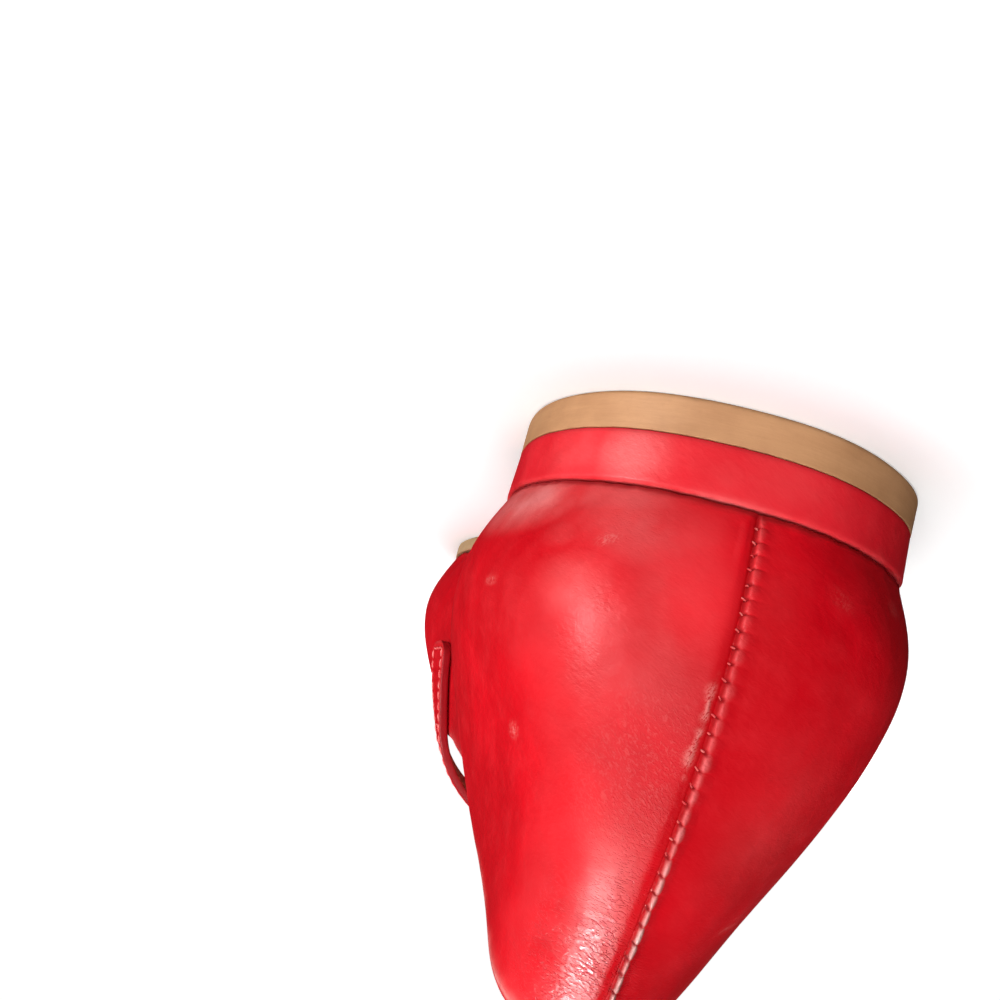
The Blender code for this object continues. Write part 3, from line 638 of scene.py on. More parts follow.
def make_seam_thread(material):
    """The closing seam's stitches: short ends that cross the groove beside the ridge."""
    parts = Parts()
    length = float(rib_length([0.0])[0])
    heights = np.linspace(0.0, length, 4000)
    phase = stitch_phase(heights)[0]
    found = heights[1:][(phase[:-1] < 0.0) & (phase[1:] >= 0.0)]
    thickness = SEAM_THREAD * np.array([0.8, 1.0, 1.15, 1.1, 0.9, 0.5])
    for k, height in enumerate(found):
        longer = 0.85 + 0.35 * math.sin(k * 2.7)
        slant = 1.0 + 0.7 * math.sin(k * 1.3)
        path = []
        for side, drop, lift in ((-0.16, 0.04, -0.30), (-0.04, 0.02, 0.02), (0.10, -0.03, 0.14),
                                 (0.24, -0.10, 0.10), (0.38, -0.17, -0.06), (0.48, -0.22, -0.30)):
            way = (side * longer if side > 0.0 else side) * MM
            up = (height + drop * slant * MM) / length
            ground = seam_relief(np.array([way]), np.array([height]))[0][0]
            path.append(last_point(way, up)
                        + last_normal(way, up) * (ground + (lift + 0.12) * MM))
        low, high = (last_point(0.0, at / length) for at in (height, height + 0.5 * MM))
        parts.add(rod(path, unit(high - low), thickness, sides=6))
    return parts.piece("seam_thread", material, "upper_leather")


# ---------------------------------------------------------------- sole and heel

def outline_distance(points, loop):
    """Distance in plan from each point to a closed outline."""
    away = np.empty(len(points))
    for start in range(0, len(points), 2000):
        gaps = points[start:start + 2000, None, :2] - loop[None, :, :2]
        away[start:start + 2000] = np.sqrt((gaps ** 2).sum(axis=2).min(axis=1))
    return away


def edge_at(side_points, along):
    order = np.argsort(side_points[:, 1])
    return float(np.interp(along, side_points[order, 1], side_points[order, 0]))


PLATE_ROWS = 220
HEEL_STEPS = 260


def plate(outward, back=None):
    """Plan grid of a piece with the last's outline: points in rows, and their edge distance."""
    loop = foot_loop(np.linspace(0.0, ROUND, 1441)[:-1], outward)
    turn = int(np.argmax(loop[:, 1]))
    inner, outer = loop[:turn + 1], loop[turn:][::-1]
    start = min(inner[:, 1].min(), outer[:, 1].min()) if back is None else back
    tip = loop[turn, 1]
    rim = np.array([0.0, 0.08, 0.25, 0.5, 0.85, 1.3, 2.0, 3.0, 4.5])
    grid = []
    for i in range(PLATE_ROWS + 1):
        angle = i / PLATE_ROWS * math.pi
        share = (1.0 - math.cos(angle)) / 2 if back is None else math.sin(angle / 2)
        inset = 1e-5 if share in (0.0, 1.0) else 0.0
        along = start + (tip - start) * share
        left, right = edge_at(outer, along), edge_at(inner, along)
        half = (right - left) / 2
        near = rim * MM * min(1.0, half / (6.0 * MM))
        middle = np.linspace(near[-1], half * 2 - near[-1], 16)[1:-1]
        xs = left + np.concatenate([near, middle, half * 2 - near[::-1]])
        grid.append([(x, along + inset, 0.0) for x in xs])
    grid = np.array(grid)
    away = outline_distance(grid.reshape(-1, 3), loop).reshape(grid.shape[:2])
    away[:, [0, -1]] = 0.0
    if back is None:
        away[[0, -1]] = 0.0
    else:
        away = np.minimum(away, grid[:, :, 1] - start)
        away[-1] = 0.0
    return grid, away


def at_height(grid, height):
    """The points of a plan grid at other heights."""
    return np.concatenate([grid[:, :, :2], height[:, :, None]], axis=2)


def slab_piece(name, upper, lower, materials, node, painted=0, marks=None):
    """A closed piece between two grids of points.

    Its lower face, its rim and as many painted rows of cells along the rim have the last
    material.
    """
    rows, columns = upper.shape[:2]
    under, last = rows * columns, len(materials) - 1
    at = np.arange(under).reshape(rows, columns)
    faces, kinds = [], []
    for i in range(rows - 1):
        for j in range(columns - 1):
            a, b = at[i, j], at[i + 1, j]
            faces += [(a, a + 1, b + 1, b), (under + a, under + b, under + b + 1, under + a + 1)]
            from_rim = min(i, rows - 2 - i, j, columns - 2 - j)
            kinds += [last if from_rim < painted else 0, last]
    rim = [*at[0], *at[1:, -1], *at[-1, -2::-1], *at[-2:0:-1, 0]]
    for a, b in zip(rim, rim[1:] + rim[:1]):
        faces.append((a, under + a, under + b, b))
    kinds += [last] * len(rim)
    return add_piece(name, np.stack([upper, lower]), faces, materials, node, kinds, marks)


def rounding(away, radius):
    """How far a rounded edge lies below its face, at a distance from the edge."""
    short = np.clip(radius - away, 0.0, radius)
    return radius - np.sqrt(radius ** 2 - short ** 2)


def make_outsole(material):
    grid, away = plate(SOLE_EDGE, back=HEEL_BREAST + CLEARANCE)
    line = sole_line(grid[:, :, 1])
    top = line - rounding(away, 0.3 * MM)
    bottom = line - SOLE_THICKNESS + rounding(away, 0.9 * MM)
    ball = 168.0 * MM
    worn = np.clip(1.0 - np.abs(grid[:, :, 1] - ball) / (38.0 * MM), 0.0, 1.0)
    worn *= np.clip(away / (9.0 * MM), 0.0, 1.0)
    return slab_piece("outsole_leather", at_height(grid, top), at_height(grid, bottom), [material],
                      "outsole", marks={"wear_and_highlight": (0.0 * worn, worn)})


def make_insole(top_material, edge_material):
    """Sock over the insole, pressed in a little by heel, ball and toes."""
    grid, away = plate(-INSOLE_INSET)
    x, y = grid[:, :, 0], grid[:, :, 1]
    bottom = sole_line(y) + CLEARANCE * 2 + WALL
    top = bottom + INSOLE_THICKNESS
    worn = np.zeros_like(x)
    for across, along, wide, long, depth in (
            (0.0, 27.0, 17.0, 22.0, 0.45), (14.0, 168.0, 15.0, 15.0, 0.3),
            (-18.0, 160.0, 13.0, 16.0, 0.25), (15.0, 214.0, 9.0, 10.0, 0.25)):
        dent = bell(x / MM - across, wide) * bell(y / MM - along, long)
        top = top - depth * MM * dent
        worn = np.maximum(worn, dent)
    top = top - rounding(away, 0.8 * MM)
    return slab_piece("insole_sock", at_height(grid, top), at_height(grid, bottom),
                      [top_material, edge_material], "insole",
                      marks={"wear_and_highlight": (worn, 0.0 * worn)})


def heel_ring(outward, height):
    """Outline of the heel at one height: round the back and straight across the breast."""
    inner = way_at(HEEL_BREAST, 1)
    outer = way_at(HEEL_BREAST, -1) - ROUND
    points = foot_loop(np.linspace(outer, inner, HEEL_STEPS + 1), outward)
    points[:, 2] = height
    points[0, 1] = points[-1, 1] = HEEL_BREAST
    shares = np.linspace(0.0, 1.0, 40)[1:-1]
    across = points[-1, 0] + (points[0, 0] - points[-1, 0]) * shares
    breast = [(x, HEEL_BREAST, height) for x in across]
    return np.concatenate([points, breast])


def make_heel_piece(name, levels, ragged_low, ragged_high, material, node):
    """A stack of heel outlines whose lowest and highest edges may be slightly uneven."""
    rings = []
    low, high = levels[0][0], levels[-1][0]
    for height, outward in levels:
        ring = heel_ring(outward, height)
        near_low = math.exp(-(height - low) / (0.5 * MM))
        near_high = math.exp(-(high - height) / (0.5 * MM))
        fine = wobble(ring, 1.1 * MM, 3.0) + 0.6 * wobble(ring, 0.5 * MM, 9.0)
        ring[:, 2] += fine * (ragged_low * near_low + ragged_high * near_high)
        rings.append(ring)
    points = np.concatenate(rings)
    # The top-edge mark is a painted highlight on the red heel leather, strongest where the light
    # falls; the tan top piece darkens it as wear instead. The bottom-edge mark is painted shade by
    # the gap below.
    lit = bell(points[:, 0] - 3.0 * MM, 7.0 * MM)
    wear_and_highlight = np.exp(-(high - points[:, 2]) / (0.25 * MM)) * (0.30 + 0.70 * lit)
    hollow_shade = np.exp(-(points[:, 2] - low) / (0.3 * MM))
    return add_piece(name, points, ring_faces(len(rings), len(rings[0]), caps=True), [material],
                     node, marks={"wear_and_highlight": wear_and_highlight, "hollow_shade": hollow_shade})


def rounded_levels(low, high, face, round_low, round_high, lean):
    """Heights and outward distances of a heel piece with rounded edges; lean is per metre."""
    def corner(end, size, turns):
        """Levels round an edge; size is below 0 where the body lies under its end."""
        return [(end + size * (1.0 - math.sin(turn)), face - abs(size) * (1.0 - math.cos(turn)))
                for turn in turns]

    turns = np.radians(np.linspace(0.0, 90.0, 8))
    between = np.linspace(low + round_low, high - round_high, 16)[1:-1]
    levels = (corner(low, round_low, turns[::-1]) + [(height, face) for height in between]
              + corner(high, -round_high, turns))
    return [(height, out + (height - low) * lean) for height, out in levels]


# ---------------------------------------------------------------- strap and buckle

def quarter_line(side, drop, lift, spread):
    """A line across the strap on the quarter: drop below the collar, lift above the leather."""
    way = way_at(STRAP_ALONG, side, 1.0)
    rib = last_point(way, np.linspace(0.0, 1.0, 60))
    up = 1.0 - drop / lengths_along(rib)[-1]
    ways = way + side * spread / (np.linalg.norm(last_run(way, up)) / MM)
    ups = np.full_like(ways, up)
    return last_point(ways, ups) + last_normal(ways, ups) * lift


def strap_lift(distance):
    """Height of the strap's middle over the quarter, at a distance from the centre bar."""
    lift = CLEARANCE + STRAP_THICKNESS / 2
    reach = BUCKLE_LENGTH / 2 - BUCKLE_BAR - CLEARANCE
    if abs(distance) < reach:
        lift += (CENTRE_BAR + CLEARANCE) * math.cos(distance / reach * math.pi / 2) ** 2
    return lift


def end_width(distance, corner):
    """Share of the strap's width at a distance from its rounded end."""
    if distance >= corner:
        return 1.0
    return max(math.sqrt(1.0 - (1.0 - distance / corner) ** 2), 0.05)


def strap_middle(spread):
    """Middle surface of the strap as a grid: from the sewn end to the free tip."""
    flat = CLEARANCE + STRAP_THICKNESS / 2
    sewn_corner, tip_corner = 3.0 * MM, 6.0 * MM
    lines = []
    rounded = np.array([0.0, 0.02, 0.06, 0.15, 0.3, 0.5, 0.8, 1.2, 1.7, 2.3, 3.0]) * MM
    straight = np.linspace(sewn_corner, STRAP_SEWN * 0.95, 18)[1:]
    for from_end in np.concatenate([rounded, straight]):
        width = end_width(from_end, sewn_corner)
        lines.append(quarter_line(1, STRAP_SEWN - from_end, flat, spread * width))
    length = BUCKLE_DROP + STRAP_TIP
    ends = np.array([6.0, 5.2, 4.4, 3.6, 2.8, 2.0, 1.4, 0.9, 0.5, 0.25, 0.1, 0.03, 0.0]) * MM
    straight = np.linspace(1.0 * MM, length - tip_corner, 44)[:-1]
    landing = []
    for drop in np.concatenate([straight, length - ends]):
        width = end_width(length - drop, tip_corner)
        landing.append(quarter_line(-1, drop, strap_lift(drop - BUCKLE_DROP), spread * width))
    start, finish = lines[-1], landing[0]
    leave = unit(lines[-1] - lines[-2])
    arrive = unit(landing[1] - landing[0])
    top = np.stack([(start[:, 0] + finish[:, 0]) / 2, STRAP_ALONG + spread + 1.0 * MM,
                    STRAP_TOP - spread * STRAP_SLOPE], axis=1)
    level = np.array([-1.0, 0.0, 0.0])
    for a, b, go, stop in ((start, top, leave, level), (top, finish, level, arrive)):
        reach = np.linalg.norm(b - a, axis=1, keepdims=True) * 1.15
        for share in np.arange(1, 33) / 32:
            t2, t3 = share ** 2, share ** 3
            lines.append((2 * t3 - 3 * t2 + 1) * a + (t3 - 2 * t2 + share) * reach * go
                         + (3 * t2 - 2 * t3) * b + (t3 - t2) * reach * stop)
    return np.array(lines[:-1] + landing)


def strap_spread():
    """Places across the strap, close together at its rounded edges and stitch channels."""
    half = STRAP_WIDTH / 2 / MM
    from_edge = np.array([0.0, 0.03, 0.1, 0.22, 0.4, 0.6, 0.9, 1.2, 1.45, 1.7, 1.95, 2.2, 2.6,
                          3.6, 4.8])
    return np.concatenate([from_edge - half, [0.0], (half - from_edge)[::-1]]) * MM


def strap_normals(middle):
    """Unit normals of the strap's middle surface, pointing away from the foot."""
    normal = np.cross(np.gradient(middle, axis=1), np.gradient(middle, axis=0))
    normal = normal / np.maximum(np.linalg.norm(normal, axis=2, keepdims=True), 1e-15)
    normal[:2] = normal[2]
    normal[-2:] = normal[-3]
    if normal[len(normal) // 2, len(normal[0]) // 2, 2] < 0.0:
        normal = -normal
    return normal


def make_strap(leather, edge_material):
    spread = strap_spread()
    middle = strap_middle(spread)
    normal = strap_normals(middle)
    place = lengths_along(middle[:, len(spread) // 2])
    end = np.minimum(place, place[-1] - place)[:, None]
    from_edge = np.minimum(STRAP_WIDTH / 2 - np.abs(spread), np.maximum(end, 0.0))
    half = STRAP_THICKNESS / 2 - rounding(from_edge, 0.55 * MM)
    # Painted shade darkens the stitch channels; the paler edges are wear.
    channel = bell(from_edge - STRAP_STITCHES, 0.32 * MM)
    wear_and_highlight = 0.6 * np.exp(-from_edge / (0.4 * MM))
    strap = slab_piece("strap_leather", middle + normal * (half - 0.12 * MM * channel)[:, :, None],
                       middle - normal * half[:, :, None], [leather, edge_material],
                       "strap", painted=3,
                       marks={"hollow_shade": (0.5 * channel, 0.0 * channel),
                              "wear_and_highlight": (wear_and_highlight, 0.0 * wear_and_highlight)})
    for k in range(HOLES):
        punch_hole(strap, PIN_HOLE - k * HOLE_SPACING, edge_material)
    return middle, normal, place


def punch_hole(strap, distance, material):
    """Cuts a pin hole through the strap at a distance above the centre bar."""
    centre, across, up, out = buckle_frame()
    base = centre + up * distance
    ends = [base - out * 1.0 * MM, base + out * 8.0 * MM]
    vertices, faces = rod(ends, across, HOLE_DIAMETER * 0.92, sides=32)
    mesh = closed_mesh("hole", vertices - (0.0, MIDDLE, 0.0), faces)
    mesh.materials.append(material)
    cutter = link_object("hole", mesh)
    modifier = strap.modifiers.new("hole", "BOOLEAN")
    modifier.operation = "DIFFERENCE"
    modifier.object = cutter
    modifier.solver = "EXACT"
    modifier.material_mode = "TRANSFER"
    cut = strap.evaluated_get(bpy.context.evaluated_depsgraph_get())
    strap_mesh = bpy.data.meshes.new_from_object(cut)
    strap.modifiers.clear()
    strap.data = strap_mesh
    bpy.data.objects.remove(cutter)


def make_strap_thread(material, middle, normal, place):
    """Stitches along both edges of the strap and round the end that is sewn to the quarter."""
    parts = Parts()
    spread = strap_spread()
    inset = STRAP_STITCHES
    rows = np.where((place > inset) & (place < place[-1] - inset))[0]
    lines = middle + normal * (STRAP_THICKNESS / 2 - 0.13 * MM)
    left = int(np.argmin(np.abs(spread + STRAP_WIDTH / 2 - inset)))
    right = len(spread) - 1 - left
    sewn_row = int(np.argmin(np.abs(place - (STRAP_SEWN - 1.5 * MM))))
    along = rows[place[rows] < place[-1] - 3.2 * MM]
    for column in (left, right):
        add_stitches(parts, lines[along, column], normal[along, column])
    for row in (rows[0], sewn_row):
        add_stitches(parts, lines[row, left:right + 1], normal[row, left:right + 1])
    return parts.piece("strap_thread", material, "strap_leather")


def buckle_frame():
    """Centre and axes of the buckle on the quarter: across, up the strap and outwards."""
    line = quarter_line(-1, BUCKLE_DROP, 0.0, np.array([-1.0, 0.0, 1.0]) * MM)
    above = quarter_line(-1, BUCKLE_DROP - 1.0 * MM, 0.0, np.zeros(1))[0]
    across = unit(line[2] - line[0])
    out = unit(np.cross(above - line[1], across))
    if out[0] > 0.0:
        out = -out
    up = unit(np.cross(out, across))
    if up[2] < 0.0:
        up = -up
    return line[1], across, up, out


def make_buckle(material):
    """Rectangular frame over the strap, with a centre bar under it."""
    centre, across, up, out = buckle_frame()
    half_width = STRAP_WIDTH / 2 + CLEARANCE + BUCKLE_BAR / 2 + 0.2 * MM
    half_length = (BUCKLE_LENGTH - BUCKLE_BAR) / 2
    height = CLEARANCE * 2 + STRAP_THICKNESS + BUCKLE_BAR / 2
    corner = 2.0 * MM
    path = []
    for turn, sx, sy in ((0, 1, 1), (90, -1, 1), (180, -1, -1), (270, 1, -1)):
        for k in range(13):
            angle = math.radians(turn + k * 7.5)
            x = sx * (half_width - corner) + corner * math.cos(angle)
            y = sy * (half_length - corner) + corner * math.sin(angle)
            path.append(centre + across * x + up * y + out * height)
    parts = Parts()
    parts.add(rod(path, out, BUCKLE_BAR, closed=True, sides=20))
    low = CLEARANCE + CENTRE_BAR / 2
    bend = [(1.0, height), (1.0, (height + low) / 2 + 0.2 * MM),
            (0.94, low + 0.25 * MM), (0.84, low)]
    ends = [(-x, z) for x, z in bend] + [(0.0, low)] + bend[::-1]
    bar = [centre + across * x * half_width + out * z for x, z in ends]
    parts.add(rod(bar, up, CENTRE_BAR, sides=16))
    return parts.piece("buckle_metal", material, "buckle_metal", "buckle")


def make_pin(material):
    """The pin: up through its hole in the strap and over the frame's upper bar."""
    centre, across, up, out = buckle_frame()
    rest = CLEARANCE * 3 + STRAP_THICKNESS + BUCKLE_BAR + PIN_THICKNESS / 2
    end = BUCKLE_LENGTH / 2
    knots = np.array([(PIN_HOLE, 2.7 * MM), (PIN_HOLE, 3.6 * MM),
                      (PIN_HOLE + 0.25 * MM, rest - 0.5 * MM), (PIN_HOLE + 0.9 * MM, rest),
                      (end - BUCKLE_BAR, rest + 0.1 * MM), (end, rest),
                      (end + 0.8 * MM, rest - 0.25 * MM)])
    steps = np.linspace(0, len(knots) - 1, 49)
    smooth = points_at(steps, np.arange(len(knots)), knots)
    for _ in range(6):
        smooth[1:-1] = (smooth[:-2] + 2 * smooth[1:-1] + smooth[2:]) / 4
    path = [centre + up * distance + out * height for distance, height in smooth]
    thickness = PIN_THICKNESS * np.interp(steps, [0, 5.0, 5.7, 6], [1.0, 0.92, 0.75, 0.25])
    parts = Parts()
    parts.add(rod(path, across, thickness, sides=16))
    return parts.piece("pin_metal", material, "pin_metal", "buckle_pin")


# ---------------------------------------------------------------- materials

class Look:
    """A node material; values given to its nodes are constants or sockets of other nodes."""

    def __init__(self, name):
        self.material = bpy.data.materials.new(name)
        self.material.use_nodes = True
        self.tree = self.material.node_tree
        self.shader = self.tree.nodes["Principled BSDF"]
        self.place = self.node("TexCoord", {}).outputs["Object"]

    def node(self, kind, inputs, **settings):
        made = self.tree.nodes.new("ShaderNode" + kind)
        for key, value in settings.items():
            setattr(made, key, value)
        self.feed(made, inputs)
        return made

    def feed(self, node, inputs):
        for key, value in inputs.items():
            if isinstance(value, bpy.types.NodeSocket):
                self.tree.links.new(value, node.inputs[key])
            else:
                node.inputs[key].default_value = value

    def math(self, operation, a, b):
        return self.node("Math", {0: a, 1: b}, operation=operation).outputs[0]

    def times(self, a, b):
        return self.math("MULTIPLY", a, b)

    def plus(self, a, b):
        return self.math("ADD", a, b)

    def most(self, a, b):
        return self.math("MAXIMUM", a, b)

    def vector(self, operation, a, b):
        return self.node("VectorMath", {0: a, 1: b}, operation=operation).outputs[0]

    def length(self, vector):
        return self.node("VectorMath", {0: vector}, operation="LENGTH").outputs["Value"]

    def turned(self, vector, degrees):
        """Coordinates whose first axis is turned up by some degrees."""
        return self.node("VectorRotate", {"Vector": vector, "Angle": math.radians(degrees)},
                         rotation_type="Y_AXIS").outputs[0]

    def axis(self, number):
        return self.node("SeparateXYZ", {0: self.place}).outputs[number]

    def mark(self, name):
        """The named values that a piece has on its vertices."""
        made = self.node("Attribute", {}, attribute_name=name, attribute_type="GEOMETRY")
        return made.outputs["Fac"]

    def ramp(self, value, low, high, to_low=0.0, to_high=1.0):
        """Value turned smoothly from the range low..high to to_low..to_high."""
        inputs = {"Value": value, "From Min": low, "From Max": high,
                  "To Min": to_low, "To Max": to_high}
        return self.node("MapRange", inputs, interpolation_type="SMOOTHSTEP").outputs["Result"]

    def mix(self, factor, a, b):
        """Colour a turned into colour b by a factor."""
        inputs = {0: factor, 6: a, 7: b}
        for key in (6, 7):
            if isinstance(inputs[key], tuple):
                inputs[key] = (*inputs[key], 1.0)
        return self.node("Mix", inputs, data_type="RGBA").outputs[2]

    def noise(self, scale, detail=2.0, roughness=0.5, distortion=0.0, place=None):
        inputs = {"Vector": place or self.place, "Scale": scale, "Detail": detail,
                  "Roughness": roughness, "Distortion": distortion}
        return self.node("TexNoise", inputs).outputs[0]

    def streaks(self, degrees, scales, detail, roughness=0.5, distortion=0.0, place=None):
        """Noise drawn out along an axis that is turned up by some degrees."""
        scaled = self.vector("MULTIPLY", self.turned(place or self.place, degrees), scales)
        return self.noise(1.0, detail, roughness, distortion, scaled)

    def bump(self, height, distance, normal=None):
        inputs = {"Height": height, "Distance": distance}
        if normal is not None:
            inputs["Normal"] = normal
        return self.node("Bump", inputs).outputs[0]

    def spot(self, spot):
        """1 at a place on the shoe, in millimetres, fading out over an oval area."""
        centre = (spot.across * MM, spot.along * MM - MIDDLE, spot.up * MM)
        turned = self.turned(self.vector("SUBTRACT", self.place, centre), spot.lean)
        size = (1.0 / (spot.wide * MM), 0.5 / (max(spot.wide, spot.long) * MM),
                1.0 / (spot.long * MM))
        away = self.length(self.vector("MULTIPLY", turned, size))
        return self.ramp(away, 0.15, 1.0, spot.strength, 0.0)

    def spots(self, spots):
        """The strongest of several spots."""
        total = 0.0
        for spot in spots:
            total = self.most(total, self.spot(spot))
        return total

    def finish(self, colour, roughness, normal, constants=None):
        """Hands the results to the shader and returns the material."""
        self.feed(self.shader, {"Base Color": colour, "Roughness": roughness, "Normal": normal,
                                **(constants or {})})
        return self.material


Spot = namedtuple("Spot", "across along up wide long lean strength")
# Rubbed marks of the counter: place in millimetres, half sizes, lean in degrees
SCUFFS = (
    Spot(18.4, 10.1, 42.3, 1.0, 1.5, 20, 0.7),
    Spot(25.8, 12.1, 25.8, 1.6, 1.0, 0, 0.5),
    Spot(14.1, 0.2, 19.3, 2.2, 1.0, 25, 0.5),
    Spot(-20.8, 7.1, 17.0, 1.8, 1.6, 0, 0.3),
    Spot(-12.5, -1.1, 19.1, 2.6, 1.6, -30, 0.15),
    Spot(-10.8, 9.0, 57.0, 0.5, 3.6, -60, 0.5),
)
# Wide paler areas beside the seam, over the bulge and along the inner foot: partly worn paler
# leather, partly painted sheen where the light falls
FADED_AND_SHEEN = (
    Spot(8.0, -3.5, 31.0, 12.0, 17.0, -6, 0.09),
    Spot(4.6, 0.0, 58.0, 5.0, 9.0, -6, 0.10),
    Spot(-4.5, -6.0, 24.0, 6.0, 14.0, -4, 0.03),
    Spot(12.0, 0.0, 17.0, 13.0, 7.0, 0, 0.24),
    Spot(18.5, 6.0, 19.5, 3.5, 3.0, 20, 0.30),
    Spot(15.0, 3.0, 13.5, 12.0, 4.5, 0, 0.30),
    Spot(24.5, 13.0, 14.5, 10.5, 6.0, 14, 0.85),
    Spot(-11.4, 1.4, 45.2, 9.0, 13.0, -20, 0.06),
    Spot(16.0, 1.5, 24.5, 6.0, 6.0, 0, 0.22),
    Spot(5.5, -4.0, 26.0, 8.0, 13.0, -6, 0.15),
)
# Painted highlight on the heel leather: paler, pinker patches where the light falls on the heel.
HEEL_SHEEN = (
    Spot(14.0, 2.5, 8.0, 6.5, 5.0, 0, 0.42),
    Spot(-2.0, -0.5, 8.0, 14.0, 6.0, 0, 0.08),
    Spot(21.0, 9.0, 8.0, 7.0, 5.0, 0, 0.20),
)
GRAINED = Spot(5.2, 2.0, 64.0, 9.0, 22.0, -6, 1.0)
# Painted light: a brighter red patch low beside the seam.
PAINTED_LIGHT = Spot(3.0, -4.0, 21.5, 8.5, 11.0, 0, 0.70)
DULLED = Spot(5.0, -3.0, 43.0, 9.0, 14.0, -6, 0.12)


def leather_material(name, deep, main, light, marked, counter=False, grain_depth=0.25,
                     faded_and_sheen_spots=()):
    """Smooth finished leather: mottled colour, fine grain, rubbed ridges and dark hollows.

    The counter has scuffs, raised grain and curls besides, paler areas that are partly worn leather
    and partly painted sheen, a painted patch of light, and painted shade in the seam's groove.
    """
    look = Look(name)
    broad = look.noise(42.0, 3.0, 0.55)
    mottle = look.noise(230.0, 5.0, 0.62)
    fibre = look.streaks(-30.0, (420.0, 900.0, 1900.0), 3.0, 0.6, 0.4)
    calm = look.ramp(look.axis(1), -0.05, 0.03, 0.0, 0.62)
    colour = look.mix(look.most(look.ramp(broad, 0.36, 0.64), calm), deep, main)
    colour = look.mix(look.ramp(mottle, 0.42, 0.72, 0.0, 0.09), colour, light)
    colour = look.mix(look.ramp(fibre, 0.45, 0.75, 0.0, 0.06), colour, light)
    roughness = look.ramp(mottle, 0.35, 0.7, 0.36, 0.45)
    if counter:
        # Painted light: a patch low beside the seam is turned a brighter red.
        colour = look.mix(look.spot(PAINTED_LIGHT), colour, (0.98, 0.012, 0.024))
    # Paler areas: on the counter partly worn paler leather and partly painted sheen on the lit
    # bulge and beside the seam; on the heel leather painted highlight.
    if faded_and_sheen_spots:
        uneven = look.ramp(look.noise(120.0, 4.0, 0.6), 0.3, 0.7, 0.35, 1.0)
        colour = look.mix(look.times(look.spots(faded_and_sheen_spots), uneven), colour, (0.93, 0.27, 0.26))
    if counter:
        strokes = look.streaks(60.0, (2100.0, 2800.0, 5000.0), 3.0, 0.65)
        scuffed = look.times(look.spots(SCUFFS), look.ramp(strokes, 0.46, 0.62))
        fuzzy = look.times(look.mark("fuzz"), look.ramp(strokes, 0.36, 0.54))
        scuffed = look.most(scuffed, fuzzy)
        colour = look.mix(look.times(scuffed, 0.75), colour, (0.96, 0.31, 0.28))
        roughness = look.plus(roughness, look.times(scuffed, 0.2))
        grained, dulled = look.spot(GRAINED), look.spot(DULLED)
        roughness = look.plus(look.plus(roughness, look.times(grained, -0.10)), dulled)
        curls = look.streaks(-38.0, (1500.0, 2600.0, 3000.0), 3.0, 0.6, 1.2)
        raised_curls = look.times(look.ramp(curls, 0.50, 0.66), dulled)
        colour = look.mix(raised_curls, colour, (0.95, 0.32, 0.30))
        # Painted shade: the seam's groove turns deep red.
        groove_shade = look.mark("groove_shade")
        colour = look.mix(look.times(groove_shade, 0.95), colour, deep)
        roughness = look.plus(roughness, look.times(groove_shade, 0.4))
    if marked:
        # Pale marks: worn edges, and on the seam's puffs partly a painted highlight that turns
        # whiter towards the collar.
        wear_and_highlight = look.times(look.mark("wear_and_highlight"), look.ramp(mottle, 0.30, 0.60, 0.3, 1.0))
        high_up = look.ramp(look.axis(2), 0.042, 0.062)
        pale = look.mix(high_up, (0.96, 0.20, 0.20), (0.98, 0.66, 0.60))
        colour = look.mix(look.times(wear_and_highlight, 0.8), colour, pale)
        # Painted shade: hollows, creases, stitch channels and the lines between parts are darkened.
        hollow_shade = look.mark("hollow_shade")
        colour = look.mix(look.times(hollow_shade, 0.92), colour, tuple(c * 0.45 for c in deep))
        roughness = look.plus(roughness, look.times(hollow_shade, 0.6))
        roughness = look.plus(roughness, look.times(wear_and_highlight, 0.15))

    wander = look.node("TexNoise", {"Vector": look.place, "Scale": 700.0, "Detail": 1.0})
    wander = look.node("VectorMath", {0: wander.outputs["Color"], "Scale": 0.0004},
                       operation="SCALE").outputs[0]
    bent = look.vector("ADD", look.place, wander)
    wrinkle = look.streaks(-8.0, (1500.0, 2200.0, 4700.0), 2.0, 0.55, place=bent)
    wrinkle = look.ramp(wrinkle, 0.51, 0.62, 1.0, 0.0)
    pebble = look.noise(2400.0, 2.0, 0.5, place=bent)
    patchy = look.ramp(look.noise(160.0), 0.35, 0.65, 0.35, 1.0)
    depth = look.ramp(grained, 0.0, 0.8, 0.14, 1.2) if counter else grain_depth
    grain = look.times(look.plus(wrinkle, look.times(pebble, 0.8)), look.times(patchy, depth))
    normal = look.bump(broad, 0.0006)
    normal = look.bump(mottle, 0.00016, normal)
    normal = look.bump(fibre, 0.00003, normal)
    if counter:
        normal = look.bump(look.times(curls, dulled), 0.0018, normal)
    normal = look.bump(grain, 0.00005, normal)
    if counter:
        normal = look.bump(look.times(strokes, look.mark("fuzz")), 0.00022, normal)
        puckers = look.streaks(-20.0, (1300.0, 2000.0, 2600.0), 3.0, 0.6, 0.8)
        normal = look.bump(look.times(puckers, look.mark("wear_and_highlight")), 0.0003, normal)
    return look.finish(colour, roughness, normal,
                       {"Specular IOR Level": 0.24, "Coat Weight": 0.08, "Coat Roughness": 0.24,
                        "Coat IOR": 1.42})


